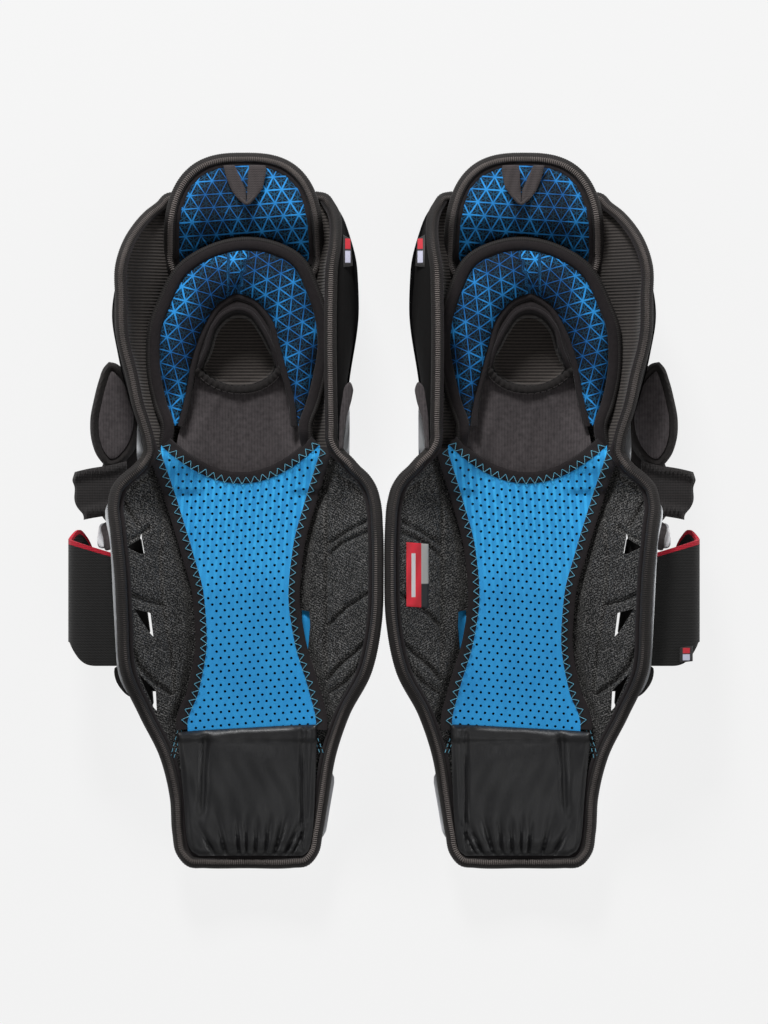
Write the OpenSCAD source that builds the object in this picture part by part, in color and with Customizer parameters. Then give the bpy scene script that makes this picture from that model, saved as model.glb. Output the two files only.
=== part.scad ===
// A pair of ice hockey shin guards, lying on their fronts with the liners up.
// One guard is described with its ankle edge at y = 0, its outer side towards -x and its liner
// towards +z. The other guard is its mirror image.

/* [Pair] */
// Distance from the middle of the pair to the middle of each guard
guard_offset = 100; // [90:1:120]
// Length of a guard from the ankle edge to the top of the thigh pad
guard_length = 516; // [516:1:520]

/* [Shells] */
// Thickness of the moulded shells
shell_wall = 3; // [2:0.5:4]
// Height of the knee dome above the floor at the shell's side edges
knee_rise = 64; // [56:1:66]
// Height of the shin shell's side edges above its middle line
shin_rise = 76; // [66:1:78]

/* [Soft parts] */
// Radius of the piping round the edges
piping_r = 4.2; // [3:0.1:4.5]
// Thickness of the mesh wings
wing_wall = 4.6; // [3:0.1:5]
// Thickness of the suspension panel
panel_wall = 1.4; // [1:0.1:2]
// Thickness of the thigh pad
thigh_wall = 11; // [8:0.5:12]
// Half height of the horseshoe pad round the knee
ring_half = 11; // [8:0.5:12]

/* [Straps] */
// Thickness of the calf strap
strap_wall = 2.4; // [1.5:0.1:3]

/* [Hidden] */

// Room between a small piece and what it lies on, and between two curved layers
fit_gap = 0.5;
layer_gap = 1.3;
neck_y = 300;
piping_inset = 9.5;

// Thickness of the link plates and the strap anchor
plate_wall = 2;

// Plan outlines, as [y, distance from the guard's middle line]
shin_outer = [[0, 38], [14, 50], [81, 62], [145, 90], [185, 91], [269, 98], [283, 92], [300, 72]];
shin_inner = [[0, 44], [12, 53], [93, 68], [150, 95], [228, 100], [267, 98], [283, 89], [300, 70]];
knee_outer = [[300, 72], [331, 81], [371, 91], [398, 95], [436, 88], [469, 72], [484, 54]];
knee_inner = [[300, 70], [349, 75], [403, 82], [430, 81], [463, 70], [484, 52]];
ridge_outer = [[303, 69], [353, 80], [384, 87], [431, 88], [462, 76], [482, 56]];
ridge_inner = [[303, 62], [384, 62], [431, 63], [462, 64], [482, 54]];
panel_outer = [[12, 28], [104, 42], [127, 34], [165, 28], [196, 30], [228, 38], [265, 49], [300, 60]];
panel_inner = [[12, 34], [104, 50], [127, 46], [165, 35], [196, 31], [230, 34], [265, 43], [300, 54]];

// Heights, as [y, z]
shell_keel = [[0, 6], [20, 1], [45, 0], [110, 3], [200, 8], [285, 8], [320, 4], [375, 0],
    [410, 3], [450, 13], [482, 24]];
side_share = [[0, 0.16], [60, 0.34], [110, 0.6], [150, 0.88], [235, 1], [285, 0.86], [300, 0.76]];
knee_share = [[300, 0.93], [340, 0.94], [375, 1], [420, 0.98], [450, 0.76], [482, 0.18]];
liner_base = [[0, 22], [45, 20], [110, 23], [200, 28], [300, 30]];
foam_floor = [[300, 20], [340, 14], [375, 12], [410, 15], [450, 22], [482, 29]];
ridge_height = [[300, 75], [340, 82], [375, 86], [430, 82], [462, 62], [482, 40]];

// Stations along the guard
shin_rows = [6, 20, 45, 81, 112, 145, 180, 215, 245, 269, 284, 299];
soft_rows = [10, 25, 50, 81, 112, 145, 180, 215, 245, 268, 283, 296];
knee_rows = [302, 320, 340, 358, 375, 395, 415, 436, 455, 470, 483];

// Horseshoe pad: middle line as [x, y, height, half width]
ring_line = [[-48, 326, 48, 5], [-51, 345, 47, 9], [-50, 368, 46, 13], [-46, 395, 46, 15],
    [-34, 417, 46, 16], [-17, 428, 46, 16.5], [1, 431, 46, 16.5], [18, 427, 46, 16.5],
    [32, 413, 46, 16], [39, 391, 46, 14], [40, 368, 46, 12.5], [39.5, 345, 47, 9],
    [39, 326, 48, 5]];
// Piping of the horseshoe pad: middle line
ring_edge = [[-52, 316, 52], [-61, 342, 48], [-66.5, 371, 46], [-65, 398, 46], [-58, 418, 46],
    [-43, 436, 46], [-20, 449, 46], [3, 452, 46], [26, 446, 46], [44, 433, 47], [52, 414, 52],
    [54.5, 387, 56], [53, 356, 56], [44, 316, 54]];
// Calf strap: middle line of its section as [x, z]
strap_line = [[-73.5, 42], [-90, 40], [-108, 37], [-119, 38.5], [-125, 44], [-126, 52],
    [-123, 60], [-115, 64.5], [-104, 66]];

thigh_half = 58;
thigh_start = 440;
thigh_power = 2.8;
thigh_hinge_z = 40;

function mix(a, b, t) = a + (b - a) * t;
function edge_outer(y) = lookup(y, y < neck_y ? shin_outer : knee_outer);
edge_inner = function(y) lookup(y, y < neck_y ? shin_inner : knee_inner);
function across(x, y) = x < 0 ? -x / edge_outer(y) : x / edge_inner(y);
function side_rise(y) = y < neck_y ? shin_rise * lookup(y, side_share) : knee_rise * lookup(y, knee_share);

// Outer face of both shells
shell_z = function(x, y) lookup(y, shell_keel) + side_rise(y) * pow(across(x, y), 2);
// Face of the shin liner
function liner_edge(y) = lookup(y, shell_keel) + side_rise(y) + 11;
liner_z = function(x, y) mix(lookup(y, liner_base), liner_edge(y), pow(across(x, y), 2));
// Face of the knee foam: a bowl inside the ridge, falling away outside it
function ridge(x, y) = lookup(y, x < 0 ? ridge_outer : ridge_inner);
function knee_z(x, y) =
    let (share = abs(x) / ridge(x, y))
    share < 1
        ? mix(lookup(y, foam_floor), lookup(y, ridge_height) - 4, pow(share, 10))
        : lookup(y, ridge_height) - 4 - (abs(x) - ridge(x, y)) * 0.9;
knee_top = function(x, y) max(knee_z(x, y), shell_z(x, y) + shell_wall + layer_gap + 1);
// Jersey tongue: follows the liner at the shin and settles into the knee bowl
tongue_z = function(x, y)
    34 + max(0, liner_z(x, min(y, 296)) + 1 - 34) * (1 - min(1, max(0, (y - 298) / 34)));
// Suspension panel: stretched flat above the foam, lying on the wings at its corners
panel_z = function(x, y) max(mix(22, 38.5, min(1, y / 200)), liner_z(x, min(y, 299)) + 0.8,
    y > 268 ? tongue_z(x, y) + 3 : 0);
// Underside of the thigh pad
function thigh_z(x) = thigh_hinge_z + 12 * pow(x / thigh_half, 2);
function thigh_top(x) =
    thigh_start + (guard_length - thigh_start)
        * pow(max(0, 1 - pow(abs(x + 1) / thigh_half, thigh_power)), 1 / thigh_power);
function thigh_low(x) = 465 - 22 * pow(x / 46, 2);

// Closed solid between two grids of points with the same number of rows and columns
module shell_of(upper, lower) {
    rows = len(upper);
    cols = len(upper[0]);
    under = rows * cols;
    last = under - cols;
    top_faces = [for (i = [0:rows - 2], j = [0:cols - 2]) let (a = i * cols + j)
        each [[a, a + cols, a + cols + 1], [a, a + cols + 1, a + 1]]];
    low_faces = [for (f = top_faces) [f[2] + under, f[1] + under, f[0] + under]];
    near_faces = [for (j = [0:cols - 2])
        each [[j, j + 1, j + 1 + under], [j, j + 1 + under, j + under]]];
    far_faces = [for (j = [0:cols - 2]) let (a = last + j)
        each [[a + 1, a, a + under], [a + 1, a + under, a + 1 + under]]];
    left_faces = [for (i = [0:rows - 2]) let (a = i * cols)
        each [[a + cols, a, a + under], [a + cols, a + under, a + cols + under]]];
    right_faces = [for (i = [0:rows - 2]) let (a = i * cols + cols - 1)
        each [[a, a + cols, a + cols + under], [a, a + cols + under, a + under]]];
    polyhedron(concat([for (r = upper) each r], [for (r = lower) each r]),
        concat(top_faces, low_faces, near_faces, far_faces, left_faces, right_faces), 8);
}

// Solid over a plan grid, between two heights given as functions of x and y
module slab(plan, top, bottom) {
    shell_of([for (r = plan) [for (p = r) [p.x, p.y, top(p.x, p.y)]]],
        [for (r = plan) [for (p = r) [p.x, p.y, bottom(p.x, p.y)]]]);
}

// Solid over the strip between two side lines, given as functions of y
module layer(ys, left, right, top, bottom, cols = 8) {
    slab([for (y = ys) [for (j = [0:cols]) [mix(left(y), right(y), j / cols), y]]], top, bottom);
}

// Rod of oval section along a line; width and height are half sizes at each point
module rod(line, width, height, sides = 8) {
    count = len(line);
    rings = [for (i = [0:count - 1])
        let (along = line[min(i + 1, count - 1)] - line[max(i - 1, 0)],
            flat = [along.y, -along.x, 0] / norm([along.x, along.y]))
        [for (k = [0:sides - 1])
            line[i] + width[i] * cos(k * 360 / sides) * flat + [0, 0, height[i] * sin(k * 360 / sides)]]];
    walls = [for (i = [0:count - 2], k = [0:sides - 1])
        let (a = i * sides + k, b = i * sides + (k + 1) % sides)
        each [[a, b, b + sides], [a, b + sides, a + sides]]];
    start = [[for (k = [sides - 1:-1:0]) k]];
    end = [[for (k = [0:sides - 1]) (count - 1) * sides + k]];
    polyhedron([for (r = rings) each r], concat(walls, start, end), 8);
}

module piping(line, r = piping_r) {
    sizes = [for (p = line) r];
    rod(line, sizes, sizes);
}

// The three side vents, cut through the shell, the foam and the outer wing
module vents() {
    translate([0, 0, 5])
        linear_extrude(120) {
            polygon([[-83, 239], [-71, 232], [-78, 227]]);
            polygon([[-78, 189], [-66, 178], [-77, 168]]);
            polygon([[-75, 139], [-64, 130], [-74, 121]]);
        }
}

module shin_shell() color("ghostwhite") {
    difference() {
        layer(shin_rows, function(y) 1.5 - edge_outer(y), function(y) edge_inner(y) - 1.5,
            function(x, y) shell_z(x, y) + shell_wall, shell_z, 10);
        vents();
    }
}

module knee_shell() color([0.09, 0.09, 0.1]) {
    layer(knee_rows, function(y) -edge_outer(y), edge_inner,
        function(x, y) shell_z(x, y) + shell_wall, shell_z, 10);
}

// Link plates that bridge the two shells, outside them
module shell_links() color("ghostwhite") {
    link_rows = [286, 296, 306, 326, 346];
    for (side = [-1, 1])
        layer(link_rows, function(y) side < 0 ? -78 : 60, function(y) side < 0 ? -62 : 76,
            function(x, y) shell_z(x, y) - layer_gap,
            function(x, y) shell_z(x, y) - layer_gap - plate_wall, 3);
}

// Rivet heads on the link plates and the strap anchor, square to the shell under them
module shell_rivets() color("silver") {
    spots = [[-70, 290], [-70, 340], [68, 290], [68, 340], [-64, 160], [-64, 195], [-64, 228]];
    for (spot = spots) {
        edge = spot.x < 0 ? -edge_outer(spot.y) : edge_inner(spot.y);
        slope = 2 * side_rise(spot.y) * spot.x / (edge * edge);
        translate([spot.x, spot.y, shell_z(spot.x, spot.y)])
            rotate([0, -atan(slope), 0])
                translate([0, 0, -layer_gap - plate_wall - 2.6])
                    cylinder(h = 2.2, r = 3.2, $fn = 32);
    }
}

module shin_foam() color([0.16, 0.15, 0.15]) {
    difference() {
        layer(soft_rows, function(y) piping_inset - edge_outer(y),
            function(y) edge_inner(y) - piping_inset,
            function(x, y) liner_z(x, y) - wing_wall - layer_gap,
            function(x, y) shell_z(x, y) + shell_wall + layer_gap, 10);
        vents();
    }
}

module outer_wing() color([0.24, 0.24, 0.24]) {
    difference() {
        layer(soft_rows, function(y) piping_inset - edge_outer(y),
            function(y) 6 - lookup(y, panel_outer),
            liner_z, function(x, y) liner_z(x, y) - wing_wall, 5);
        vents();
    }
}

module inner_wing() color([0.24, 0.24, 0.24]) {
    layer(soft_rows, function(y) lookup(y, panel_inner) - 6,
        function(y) edge_inner(y) - piping_inset,
        liner_z, function(x, y) liner_z(x, y) - wing_wall, 5);
}

// The panel's top edge dips in the middle
function panel_row(x, y) = y - 28 * pow(y / 302, 6) * max(0, 1 - pow((x + 4) / 56, 2));

module suspension_panel() color([0.18, 0.57, 0.84]) {
    panel_rows = [14, 50, 81, 112, 145, 180, 215, 245, 268, 283, 300];
    plan = [for (y = panel_rows) [for (j = [0:8])
        let (x = mix(-lookup(y, panel_outer), lookup(y, panel_inner), j / 8)) [x, panel_row(x, y)]]];
    slab(plan, function(x, y) panel_z(x, y) + panel_wall, panel_z);
}

module panel_binding() color([0.1, 0.1, 0.11]) {
    rise = panel_wall + 2;
    half_width = 3.4;
    side_rows = [108, 127, 145, 165, 196, 228, 265, 294];
    outer_line = [for (y = side_rows) let (x = 1 - lookup(y, panel_outer)) [x, y, panel_z(x, y) + rise]];
    inner_line = [for (y = side_rows) let (x = lookup(y, panel_inner) - 1) [x, y, panel_z(x, y) + rise]];
    top_line = [for (j = [1:9]) let (x = mix(-61, 55, j / 10), y = panel_row(x, 298))
        [x, y, panel_z(x, y) + rise]];
    for (line = [outer_line, inner_line, top_line])
        rod(line, [for (p = line) half_width], [for (p = line) 0.9], 6);
}

module ankle_pocket() color([0.07, 0.07, 0.08]) {
    pocket_rows = [11, 30, 55, 80, 100];
    layer(pocket_rows, function(y) mix(-33, -47, (y - 10) / 90), function(y) mix(44, 50, (y - 10) / 90),
        function(x, y) panel_z(x, y) + panel_wall + 4.5,
        function(x, y) panel_z(x, y) + panel_wall + 2.5 - 2 * (1 - y / 100), 6);
}

module shin_binding() color([0.13, 0.12, 0.12]) {
    down = [296, 284, 269, 245, 215, 180, 145, 112, 81, 50, 22];
    outer_line = [for (y = down) [piping_r - edge_outer(y), y]];
    foot_line = [[-38, 6], [0, 4.4], [42, 6]];
    inner_line = [for (i = [len(down) - 1:-1:0]) [edge_inner(down[i]) - piping_r, down[i]]];
    plan = concat(outer_line, foot_line, inner_line);
    piping([for (p = plan) [p.x, p.y, liner_z(p.x, p.y) - 1]]);
}

module mesh_tongue() color([0.2, 0.18, 0.18]) {
    layer([286, 296, 308, 320, 334, 350], function(y) mix(-46, -37, (y - 286) / 64),
        function(y) mix(38, 26, (y - 286) / 64),
        function(x, y) tongue_z(x, y) + 2.4, tongue_z, 8);
}

module knee_lining() color([0.18, 0.16, 0.15]) {
    bowl = function(x, y) 22 + 8 * pow((x + 5) / 30, 2) + 6 * pow((y - 372) / 36, 2);
    half = function(y) 33 * sqrt(1 - pow((y - 362) / 52, 2));
    layer([352, 362, 374, 388, 400, 408], function(y) -5 - half(y), function(y) half(y) - 5,
        function(x, y) bowl(x, y) + 3, bowl, 6);
}

module knee_foam() color([0.15, 0.14, 0.14]) {
    shares = [-1, -0.92, -0.8, -0.5, 0, 0.5, 0.8, 0.92, 1];
    foam_rows = [304, 320, 340, 358, 375, 395, 415, 436, 455, 470, 481];
    plan = [for (y = foam_rows) concat(
        [[min(4 - edge_outer(y), -ridge(-1, y) - 1), y]],
        [for (s = shares) [s * ridge(s, y), y]],
        [[max(edge_inner(y) - 3, ridge(1, y) + 1), y]])];
    slab(plan, knee_top, function(x, y) shell_z(x, y) + shell_wall + layer_gap);
}

module knee_binding() color([0.13, 0.12, 0.12]) {
    up = [306, 330, 353, 384, 410, 431, 448, 460, 470];
    for (side = [-1, 1])
        piping([for (y = up) [side * ridge(side, y), y, lookup(y, ridge_height) + piping_r - 3.6]]);
}

module knee_ring() color([0.1, 0.35, 0.6]) {
    rod([for (p = ring_line) [p.x, p.y, p.z]], [for (p = ring_line) p[3]],
        [for (p = ring_line) p[3] < 9 ? 5 : p[3] < 12 ? 8.5 : ring_half], 10);
}

module ring_binding() color([0.12, 0.11, 0.11]) {
    piping(ring_edge, 3.1);
}

// Plate that fastens the calf strap to the outside of the shin shell
module strap_anchor() color([0.12, 0.12, 0.12]) {
    layer([150, 180, 215, 236], function(y) -71, function(y) -57,
        function(x, y) shell_z(x, y) - layer_gap,
        function(x, y) shell_z(x, y) - layer_gap - plate_wall, 3);
}

module side_tag() color([0.8, 0.1, 0.15]) {
    layer([436, 444, 452], function(y) ridge(1, y) + 4, function(y) ridge(1, y) + 8,
        function(x, y) knee_top(x, y) + 2.2, function(x, y) knee_top(x, y) + 1.2, 2);
}

function thigh_plan(inset, lift, cols = 12) = [for (i = [0:4]) [for (j = [0:cols])
    let (x = -1 + (thigh_half - inset) * sin(mix(-78, 78, j / cols)),
        top = thigh_top(x * thigh_half / (thigh_half - inset)) - inset,
        low = min(thigh_low(x) + lift, top - 6))
    [x, mix(low, top, i / 4)]]];

module thigh_pad() color([0.13, 0.12, 0.12]) {
    slab(thigh_plan(8.6, 0), function(x, y) thigh_z(x) + thigh_wall, function(x, y) thigh_z(x));
}

module thigh_liner() color([0.1, 0.4, 0.7]) {
    slab(thigh_plan(10, 2), function(x, y) thigh_z(x) + thigh_wall + fit_gap + 1.2,
        function(x, y) thigh_z(x) + thigh_wall + fit_gap);
}

module thigh_binding() color([0.13, 0.12, 0.12]) {
    half = thigh_half - piping_r;
    height = guard_length - thigh_start - piping_r;
    line = [for (a = [4:14.33:176.1])
        let (x = -1 - half * sign(cos(a)) * pow(abs(cos(a)), 2 / thigh_power),
            y = thigh_start + height * pow(sin(a), 2 / thigh_power))
        [x, y, thigh_z(x) + thigh_wall / 2 + 1]];
    piping(line);
}

module pull_loop() color([0.2, 0.19, 0.19]) {
    translate([0, 0, thigh_hinge_z + thigh_wall + 4])
        linear_extrude(2.2)
            polygon([[-16, 508], [-8, 508], [0, 489], [3, 489], [8, 508], [15, 508], [8, 481],
                [1.5, 477], [-4, 481]]);
}

// Leaf-shaped flap beside the knee
module outer_flap() color([0.14, 0.13, 0.13]) {
    inner_side = function(y) -83;
    outer_side = function(y) -88 - 26 * pow(max(0, 1 - pow((y - 326) / 41, 2)), 0.7);
    height = function(x, y) 47 - (x + 83) * 0.25;
    layer([294, 302, 314, 328, 342, 355, 364], outer_side, inner_side,
        function(x, y) height(x, y) + 5, height, 4);
}

module inner_flap() color([0.24, 0.22, 0.22]) {
    height = function(x, y) 79 - (x - 67) * 0.5;
    layer([303, 315, 330, 347], function(y) 69, function(y) mix(73, 78, (y - 303) / 44),
        function(x, y) height(x, y) + 3, height, 2);
}

module upper_strap() color([0.2, 0.19, 0.19]) {
    wave = function(x, y) 54 + 1.5 * sin((y - 256) * 20);
    layer([256, 262, 267, 272, 277, 282, 290], function(y) -122 + 0.1 * abs(y - 278),
        function(y) -85, function(x, y) wave(x, y) + 4, wave, 4);
}

// Upper edge of the calf strap, which runs a little askew
strap_edge = function(x) 237 - (x + 126) * 0.36;
// One face of the strap, at a distance from the middle line of its section
function strap_face(low, high, offset) = [for (i = [0:len(strap_line) - 1])
    let (p = strap_line[i],
        along = strap_line[min(i + 1, len(strap_line) - 1)] - strap_line[max(i - 1, 0)],
        out = [along.y, -along.x] / norm(along))
    [for (y = [low(p.x), high(p.x)]) [p.x + out.x * offset, y, p.y + out.y * offset]]];

module strap_piece(low, high) {
    shell_of(strap_face(low, high, strap_wall / 2), strap_face(low, high, -strap_wall / 2));
}

module calf_strap() color([0.1, 0.1, 0.1]) {
    strap_piece(function(x) 148, function(x) strap_edge(x) - 3.4);
}

module strap_trim() color([0.75, 0.05, 0.12]) {
    strap_piece(function(x) strap_edge(x) - 3, strap_edge);
}

// Hook fastener under the free end of the strap
module hook_tab() color([0.2, 0.2, 0.2]) {
    translate([-112, 155, 60.6])
        rotate([0, -7, 0])
            cube([9, 60, 1.6]);
}

module wing_tag() color([0.85, 0.08, 0.15]) {
    layer([188, 203, 219, 234], function(y) 68, function(y) 84,
        function(x, y) liner_z(x, y) + 1.4, function(x, y) liner_z(x, y) + fit_gap, 3);
}

module on_left() {
    translate([-guard_offset, -guard_length / 2, 0])
        children();
}

module on_right() {
    translate([guard_offset, -guard_length / 2, 0])
        mirror([1, 0, 0])
            children();
}

on_left() shin_shell();  // shin_shell_l
on_left() knee_shell();  // knee_shell_l
on_left() shell_links();  // shell_links_l
on_left() shell_rivets();  // shell_rivets_l
on_left() shin_foam();  // shin_foam_l
on_left() outer_wing();  // outer_wing_l
on_left() inner_wing();  // inner_wing_l
on_left() suspension_panel();  // suspension_panel_l
on_left() panel_binding();  // panel_binding_l
on_left() ankle_pocket();  // ankle_pocket_l
on_left() shin_binding();  // shin_binding_l
on_left() mesh_tongue();  // mesh_tongue_l
on_left() knee_lining();  // knee_lining_l
on_left() knee_foam();  // knee_foam_l
on_left() knee_binding();  // knee_binding_l
on_left() knee_ring();  // knee_ring_l
on_left() ring_binding();  // ring_binding_l
on_left() strap_anchor();  // strap_anchor_l
on_left() side_tag();  // side_tag_l
on_left() thigh_pad();  // thigh_pad_l
on_left() thigh_liner();  // thigh_liner_l
on_left() thigh_binding();  // thigh_binding_l
on_left() pull_loop();  // pull_loop_l
on_left() outer_flap();  // outer_flap_l
on_left() inner_flap();  // inner_flap_l
on_left() upper_strap();  // upper_strap_l
on_left() calf_strap();  // calf_strap_l
on_left() strap_trim();  // strap_trim_l
on_left() hook_tab();  // hook_tab_l
on_right() shin_shell();  // shin_shell_r
on_right() knee_shell();  // knee_shell_r
on_right() shell_links();  // shell_links_r
on_right() shell_rivets();  // shell_rivets_r
on_right() shin_foam();  // shin_foam_r
on_right() outer_wing();  // outer_wing_r
on_right() inner_wing();  // inner_wing_r
on_right() suspension_panel();  // suspension_panel_r
on_right() panel_binding();  // panel_binding_r
on_right() ankle_pocket();  // ankle_pocket_r
on_right() shin_binding();  // shin_binding_r
on_right() mesh_tongue();  // mesh_tongue_r
on_right() knee_lining();  // knee_lining_r
on_right() knee_foam();  // knee_foam_r
on_right() knee_binding();  // knee_binding_r
on_right() knee_ring();  // knee_ring_r
on_right() ring_binding();  // ring_binding_r
on_right() strap_anchor();  // strap_anchor_r
on_right() side_tag();  // side_tag_r
on_right() thigh_pad();  // thigh_pad_r
on_right() thigh_liner();  // thigh_liner_r
on_right() thigh_binding();  // thigh_binding_r
on_right() pull_loop();  // pull_loop_r
on_right() outer_flap();  // outer_flap_r
on_right() inner_flap();  // inner_flap_r
on_right() upper_strap();  // upper_strap_r
on_right() calf_strap();  // calf_strap_r
on_right() strap_trim();  // strap_trim_r
on_right() hook_tab();  // hook_tab_r
on_right() wing_tag();  // wing_tag_r
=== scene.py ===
import math

import bmesh
import bpy
import numpy as np
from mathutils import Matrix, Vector
from mathutils.geometry import delaunay_2d_cdt


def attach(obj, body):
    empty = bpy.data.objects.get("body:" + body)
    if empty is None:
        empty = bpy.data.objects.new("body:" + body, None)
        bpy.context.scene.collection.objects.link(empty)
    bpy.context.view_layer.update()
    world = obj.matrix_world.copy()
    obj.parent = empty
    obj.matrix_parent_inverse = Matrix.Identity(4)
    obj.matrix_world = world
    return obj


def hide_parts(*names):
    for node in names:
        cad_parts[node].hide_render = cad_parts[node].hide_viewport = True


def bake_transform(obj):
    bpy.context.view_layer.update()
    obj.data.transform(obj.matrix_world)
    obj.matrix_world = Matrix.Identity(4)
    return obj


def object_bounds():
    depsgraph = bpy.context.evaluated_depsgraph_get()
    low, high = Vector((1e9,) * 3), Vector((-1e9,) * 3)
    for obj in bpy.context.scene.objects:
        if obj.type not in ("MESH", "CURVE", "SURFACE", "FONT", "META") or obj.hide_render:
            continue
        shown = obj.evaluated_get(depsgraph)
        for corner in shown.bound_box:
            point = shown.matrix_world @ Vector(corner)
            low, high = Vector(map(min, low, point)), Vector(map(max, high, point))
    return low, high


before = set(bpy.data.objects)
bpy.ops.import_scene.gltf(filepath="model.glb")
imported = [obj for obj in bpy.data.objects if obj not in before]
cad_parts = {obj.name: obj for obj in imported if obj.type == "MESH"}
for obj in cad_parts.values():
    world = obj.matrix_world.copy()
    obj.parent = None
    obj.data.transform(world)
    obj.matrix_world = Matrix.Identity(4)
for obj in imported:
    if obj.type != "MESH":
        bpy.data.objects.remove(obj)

cad_low, cad_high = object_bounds()

# One guard is described in millimetres in its own plan: x runs from its outer side (-) to its inner
# side (+), y from the ankle edge to the thigh end, z up from the floor. place() puts it in the frame.
MM = 0.001
HALF_LENGTH = cad_high.y / MM
OFFSET = 100.0
SIDES = ("l", "r")
NECK_Y = 300.0
SHELL_WALL = 3.0
WING_WALL = 4.6
PIPING_R = 4.2
RIB_PITCH = 1.5
THIGH_HALF = 58.0
THIGH_START = 440.0
THIGH_POWER = 2.8
THIGH_WALL = 11.0
THIGH_BEND = (430.0, 464.0)
CREASE_ANGLE = 52.0
COAT_ROUGHNESS = 0.08
PAD_VOXEL = 2.4
CLOTH_FRAMES = 20
CLOTH_STIFFNESS = 12.0
HOLE_R = 1.0
HOLE_ROW = 4.9
HOLE_PITCH = 6.0
TAG_WALL = 0.9


# ---------------------------------------------------------------- curves and heights

def curve(table):
    """A smooth curve through [position, value] pairs that never overshoots them."""
    xs, ys = np.array(table, float).T
    gap = np.diff(xs)
    slope = np.diff(ys) / gap
    tangent = np.concatenate([slope[:1], np.zeros(len(xs) - 2), slope[-1:]])
    same = slope[:-1] * slope[1:] > 0
    mean = 2 * slope[:-1] * slope[1:] / np.where(same, slope[:-1] + slope[1:], 1)
    tangent[1:-1] = np.where(same, mean, 0)

    def at(v):
        v = np.clip(np.asarray(v, float), xs[0], xs[-1])
        i = np.clip(np.searchsorted(xs, v, side="right") - 1, 0, len(xs) - 2)
        t = (v - xs[i]) / gap[i]
        return ((1 + 2 * t) * (1 - t) ** 2 * ys[i] + t * (1 - t) ** 2 * gap[i] * tangent[i]
                + t * t * (3 - 2 * t) * ys[i + 1] + t * t * (t - 1) * gap[i] * tangent[i + 1])
    return at


def mix(a, b, t):
    return a + (b - a) * t


def ease(t):
    t = np.clip(t, 0, 1)
    return t * t * (3 - 2 * t)


def drop(away, depth, reach):
    """How far a rounded rim falls: depth at the outline, nothing beyond reach."""
    return depth * (1 - ease(away / reach))


def notch(value, centre, width):
    return np.exp(-((value - centre) / width) ** 2)


def span(start, end, step=4.0):
    return np.linspace(start, end, int(abs(end - start) / step) + 1)


def soft_max(a, b, width):
    """The larger of two heights, with a rounded corner where they cross."""
    return 0.5 * (a + b + np.sqrt((a - b) ** 2 + width ** 2))


shin_outer = curve([[0, 40], [6, 47.5], [14, 52], [24, 53.4], [40, 54], [81, 62], [116, 78], [145, 89],
                    [185, 91], [235, 93.5], [258, 97.4], [271, 95.6], [282, 87.5], [291, 76.5], [300, 70.5]])
shin_inner = curve([[0, 44], [5, 50], [12, 53], [50, 60], [93, 68], [139, 89], [155, 96], [185, 99],
                    [228, 100], [262, 98], [276, 94], [288, 83], [300, 70]])
knee_outer = curve([[300, 70.5], [312, 73], [331, 81], [371, 91], [398, 95], [436, 88], [469, 72], [484, 54]])
knee_inner = curve([[300, 70], [349, 75], [403, 82], [430, 81], [463, 73], [474, 68], [484, 58]])
ridge_outer = curve([[303, 67.6], [312, 69.2], [330, 75], [353, 80], [384, 87], [431, 88], [462, 76],
                     [482, 56]])
ridge_inner = curve([[303, 63], [384, 62], [431, 63], [456, 66], [468, 65], [476, 62], [482, 57]])
panel_outer = curve([[12, 28], [104, 42], [127, 34], [165, 28], [196, 30], [228, 38], [265, 49], [300, 60]])
panel_inner = curve([[12, 34], [104, 51], [127, 46], [165, 35], [196, 31], [230, 34], [265, 43], [300, 54]])
shell_keel = curve([[0, 6], [20, 1], [45, 0], [110, 3], [200, 8], [285, 8], [320, 4], [375, 0], [410, 3],
                    [450, 13], [482, 24]])
shin_share = curve([[0, 0.16], [60, 0.34], [110, 0.6], [150, 0.88], [235, 1], [285, 0.86], [300, 0.76]])
knee_share = curve([[300, 0.9], [340, 0.94], [375, 1], [420, 0.98], [450, 0.76], [482, 0.18]])
liner_base = curve([[0, 22], [45, 20], [110, 23], [200, 28], [300, 30]])
ridge_height = curve([[300, 75], [340, 82], [375, 86], [430, 82], [462, 62], [482, 40]])


def edge(x, y):
    """Distance from the middle line to the guard's outline, on the side that x is on."""
    shin = np.where(x < 0, shin_outer(y), shin_inner(y))
    knee = np.where(x < 0, knee_outer(y), knee_inner(y))
    return np.where(y < NECK_Y, shin, knee)


def ridge(x, y):
    return np.where(x < 0, ridge_outer(y), ridge_inner(y))


def side_rise(y):
    return np.where(y < NECK_Y, 76 * shin_share(y), 64 * knee_share(y))


def shell_z(x, y):
    return shell_keel(y) + side_rise(y) * (x / edge(x, y)) ** 2


def liner_z(x, y):
    high = shell_keel(y) + side_rise(y) + 11
    return mix(liner_base(y), high, (x / edge(x, y)) ** 2)


def tongue_z(x, y):
    above = np.maximum(0, liner_z(x, np.minimum(y, 296)) + 1 - 34)
    return 34 + above * (1 - np.clip((y - 298) / 34, 0, 1))


def panel_z(x, y):
    flat = mix(22, 38.5, np.minimum(1, y / 200))
    high = soft_max(flat, liner_z(x, np.minimum(y, 299)) + 0.8, 2.0)
    return np.where(y > 262, soft_max(high, mix(30, tongue_z(x, y) + 2.6, ease((y - 262) / 12)), 1.0), high)


def thigh_z(x):
    return 40 + 12 * (x / THIGH_HALF) ** 2


# ---------------------------------------------------------------- mesh building

def place(points, side):
    """Guard millimetres to frame metres; the guard on the right is the mirror image."""
    p = np.array(points, float)
    p[:, 0] = p[:, 0] - OFFSET if side == "l" else OFFSET - p[:, 0]
    p[:, 1] -= HALF_LENGTH
    return p * MM


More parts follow.
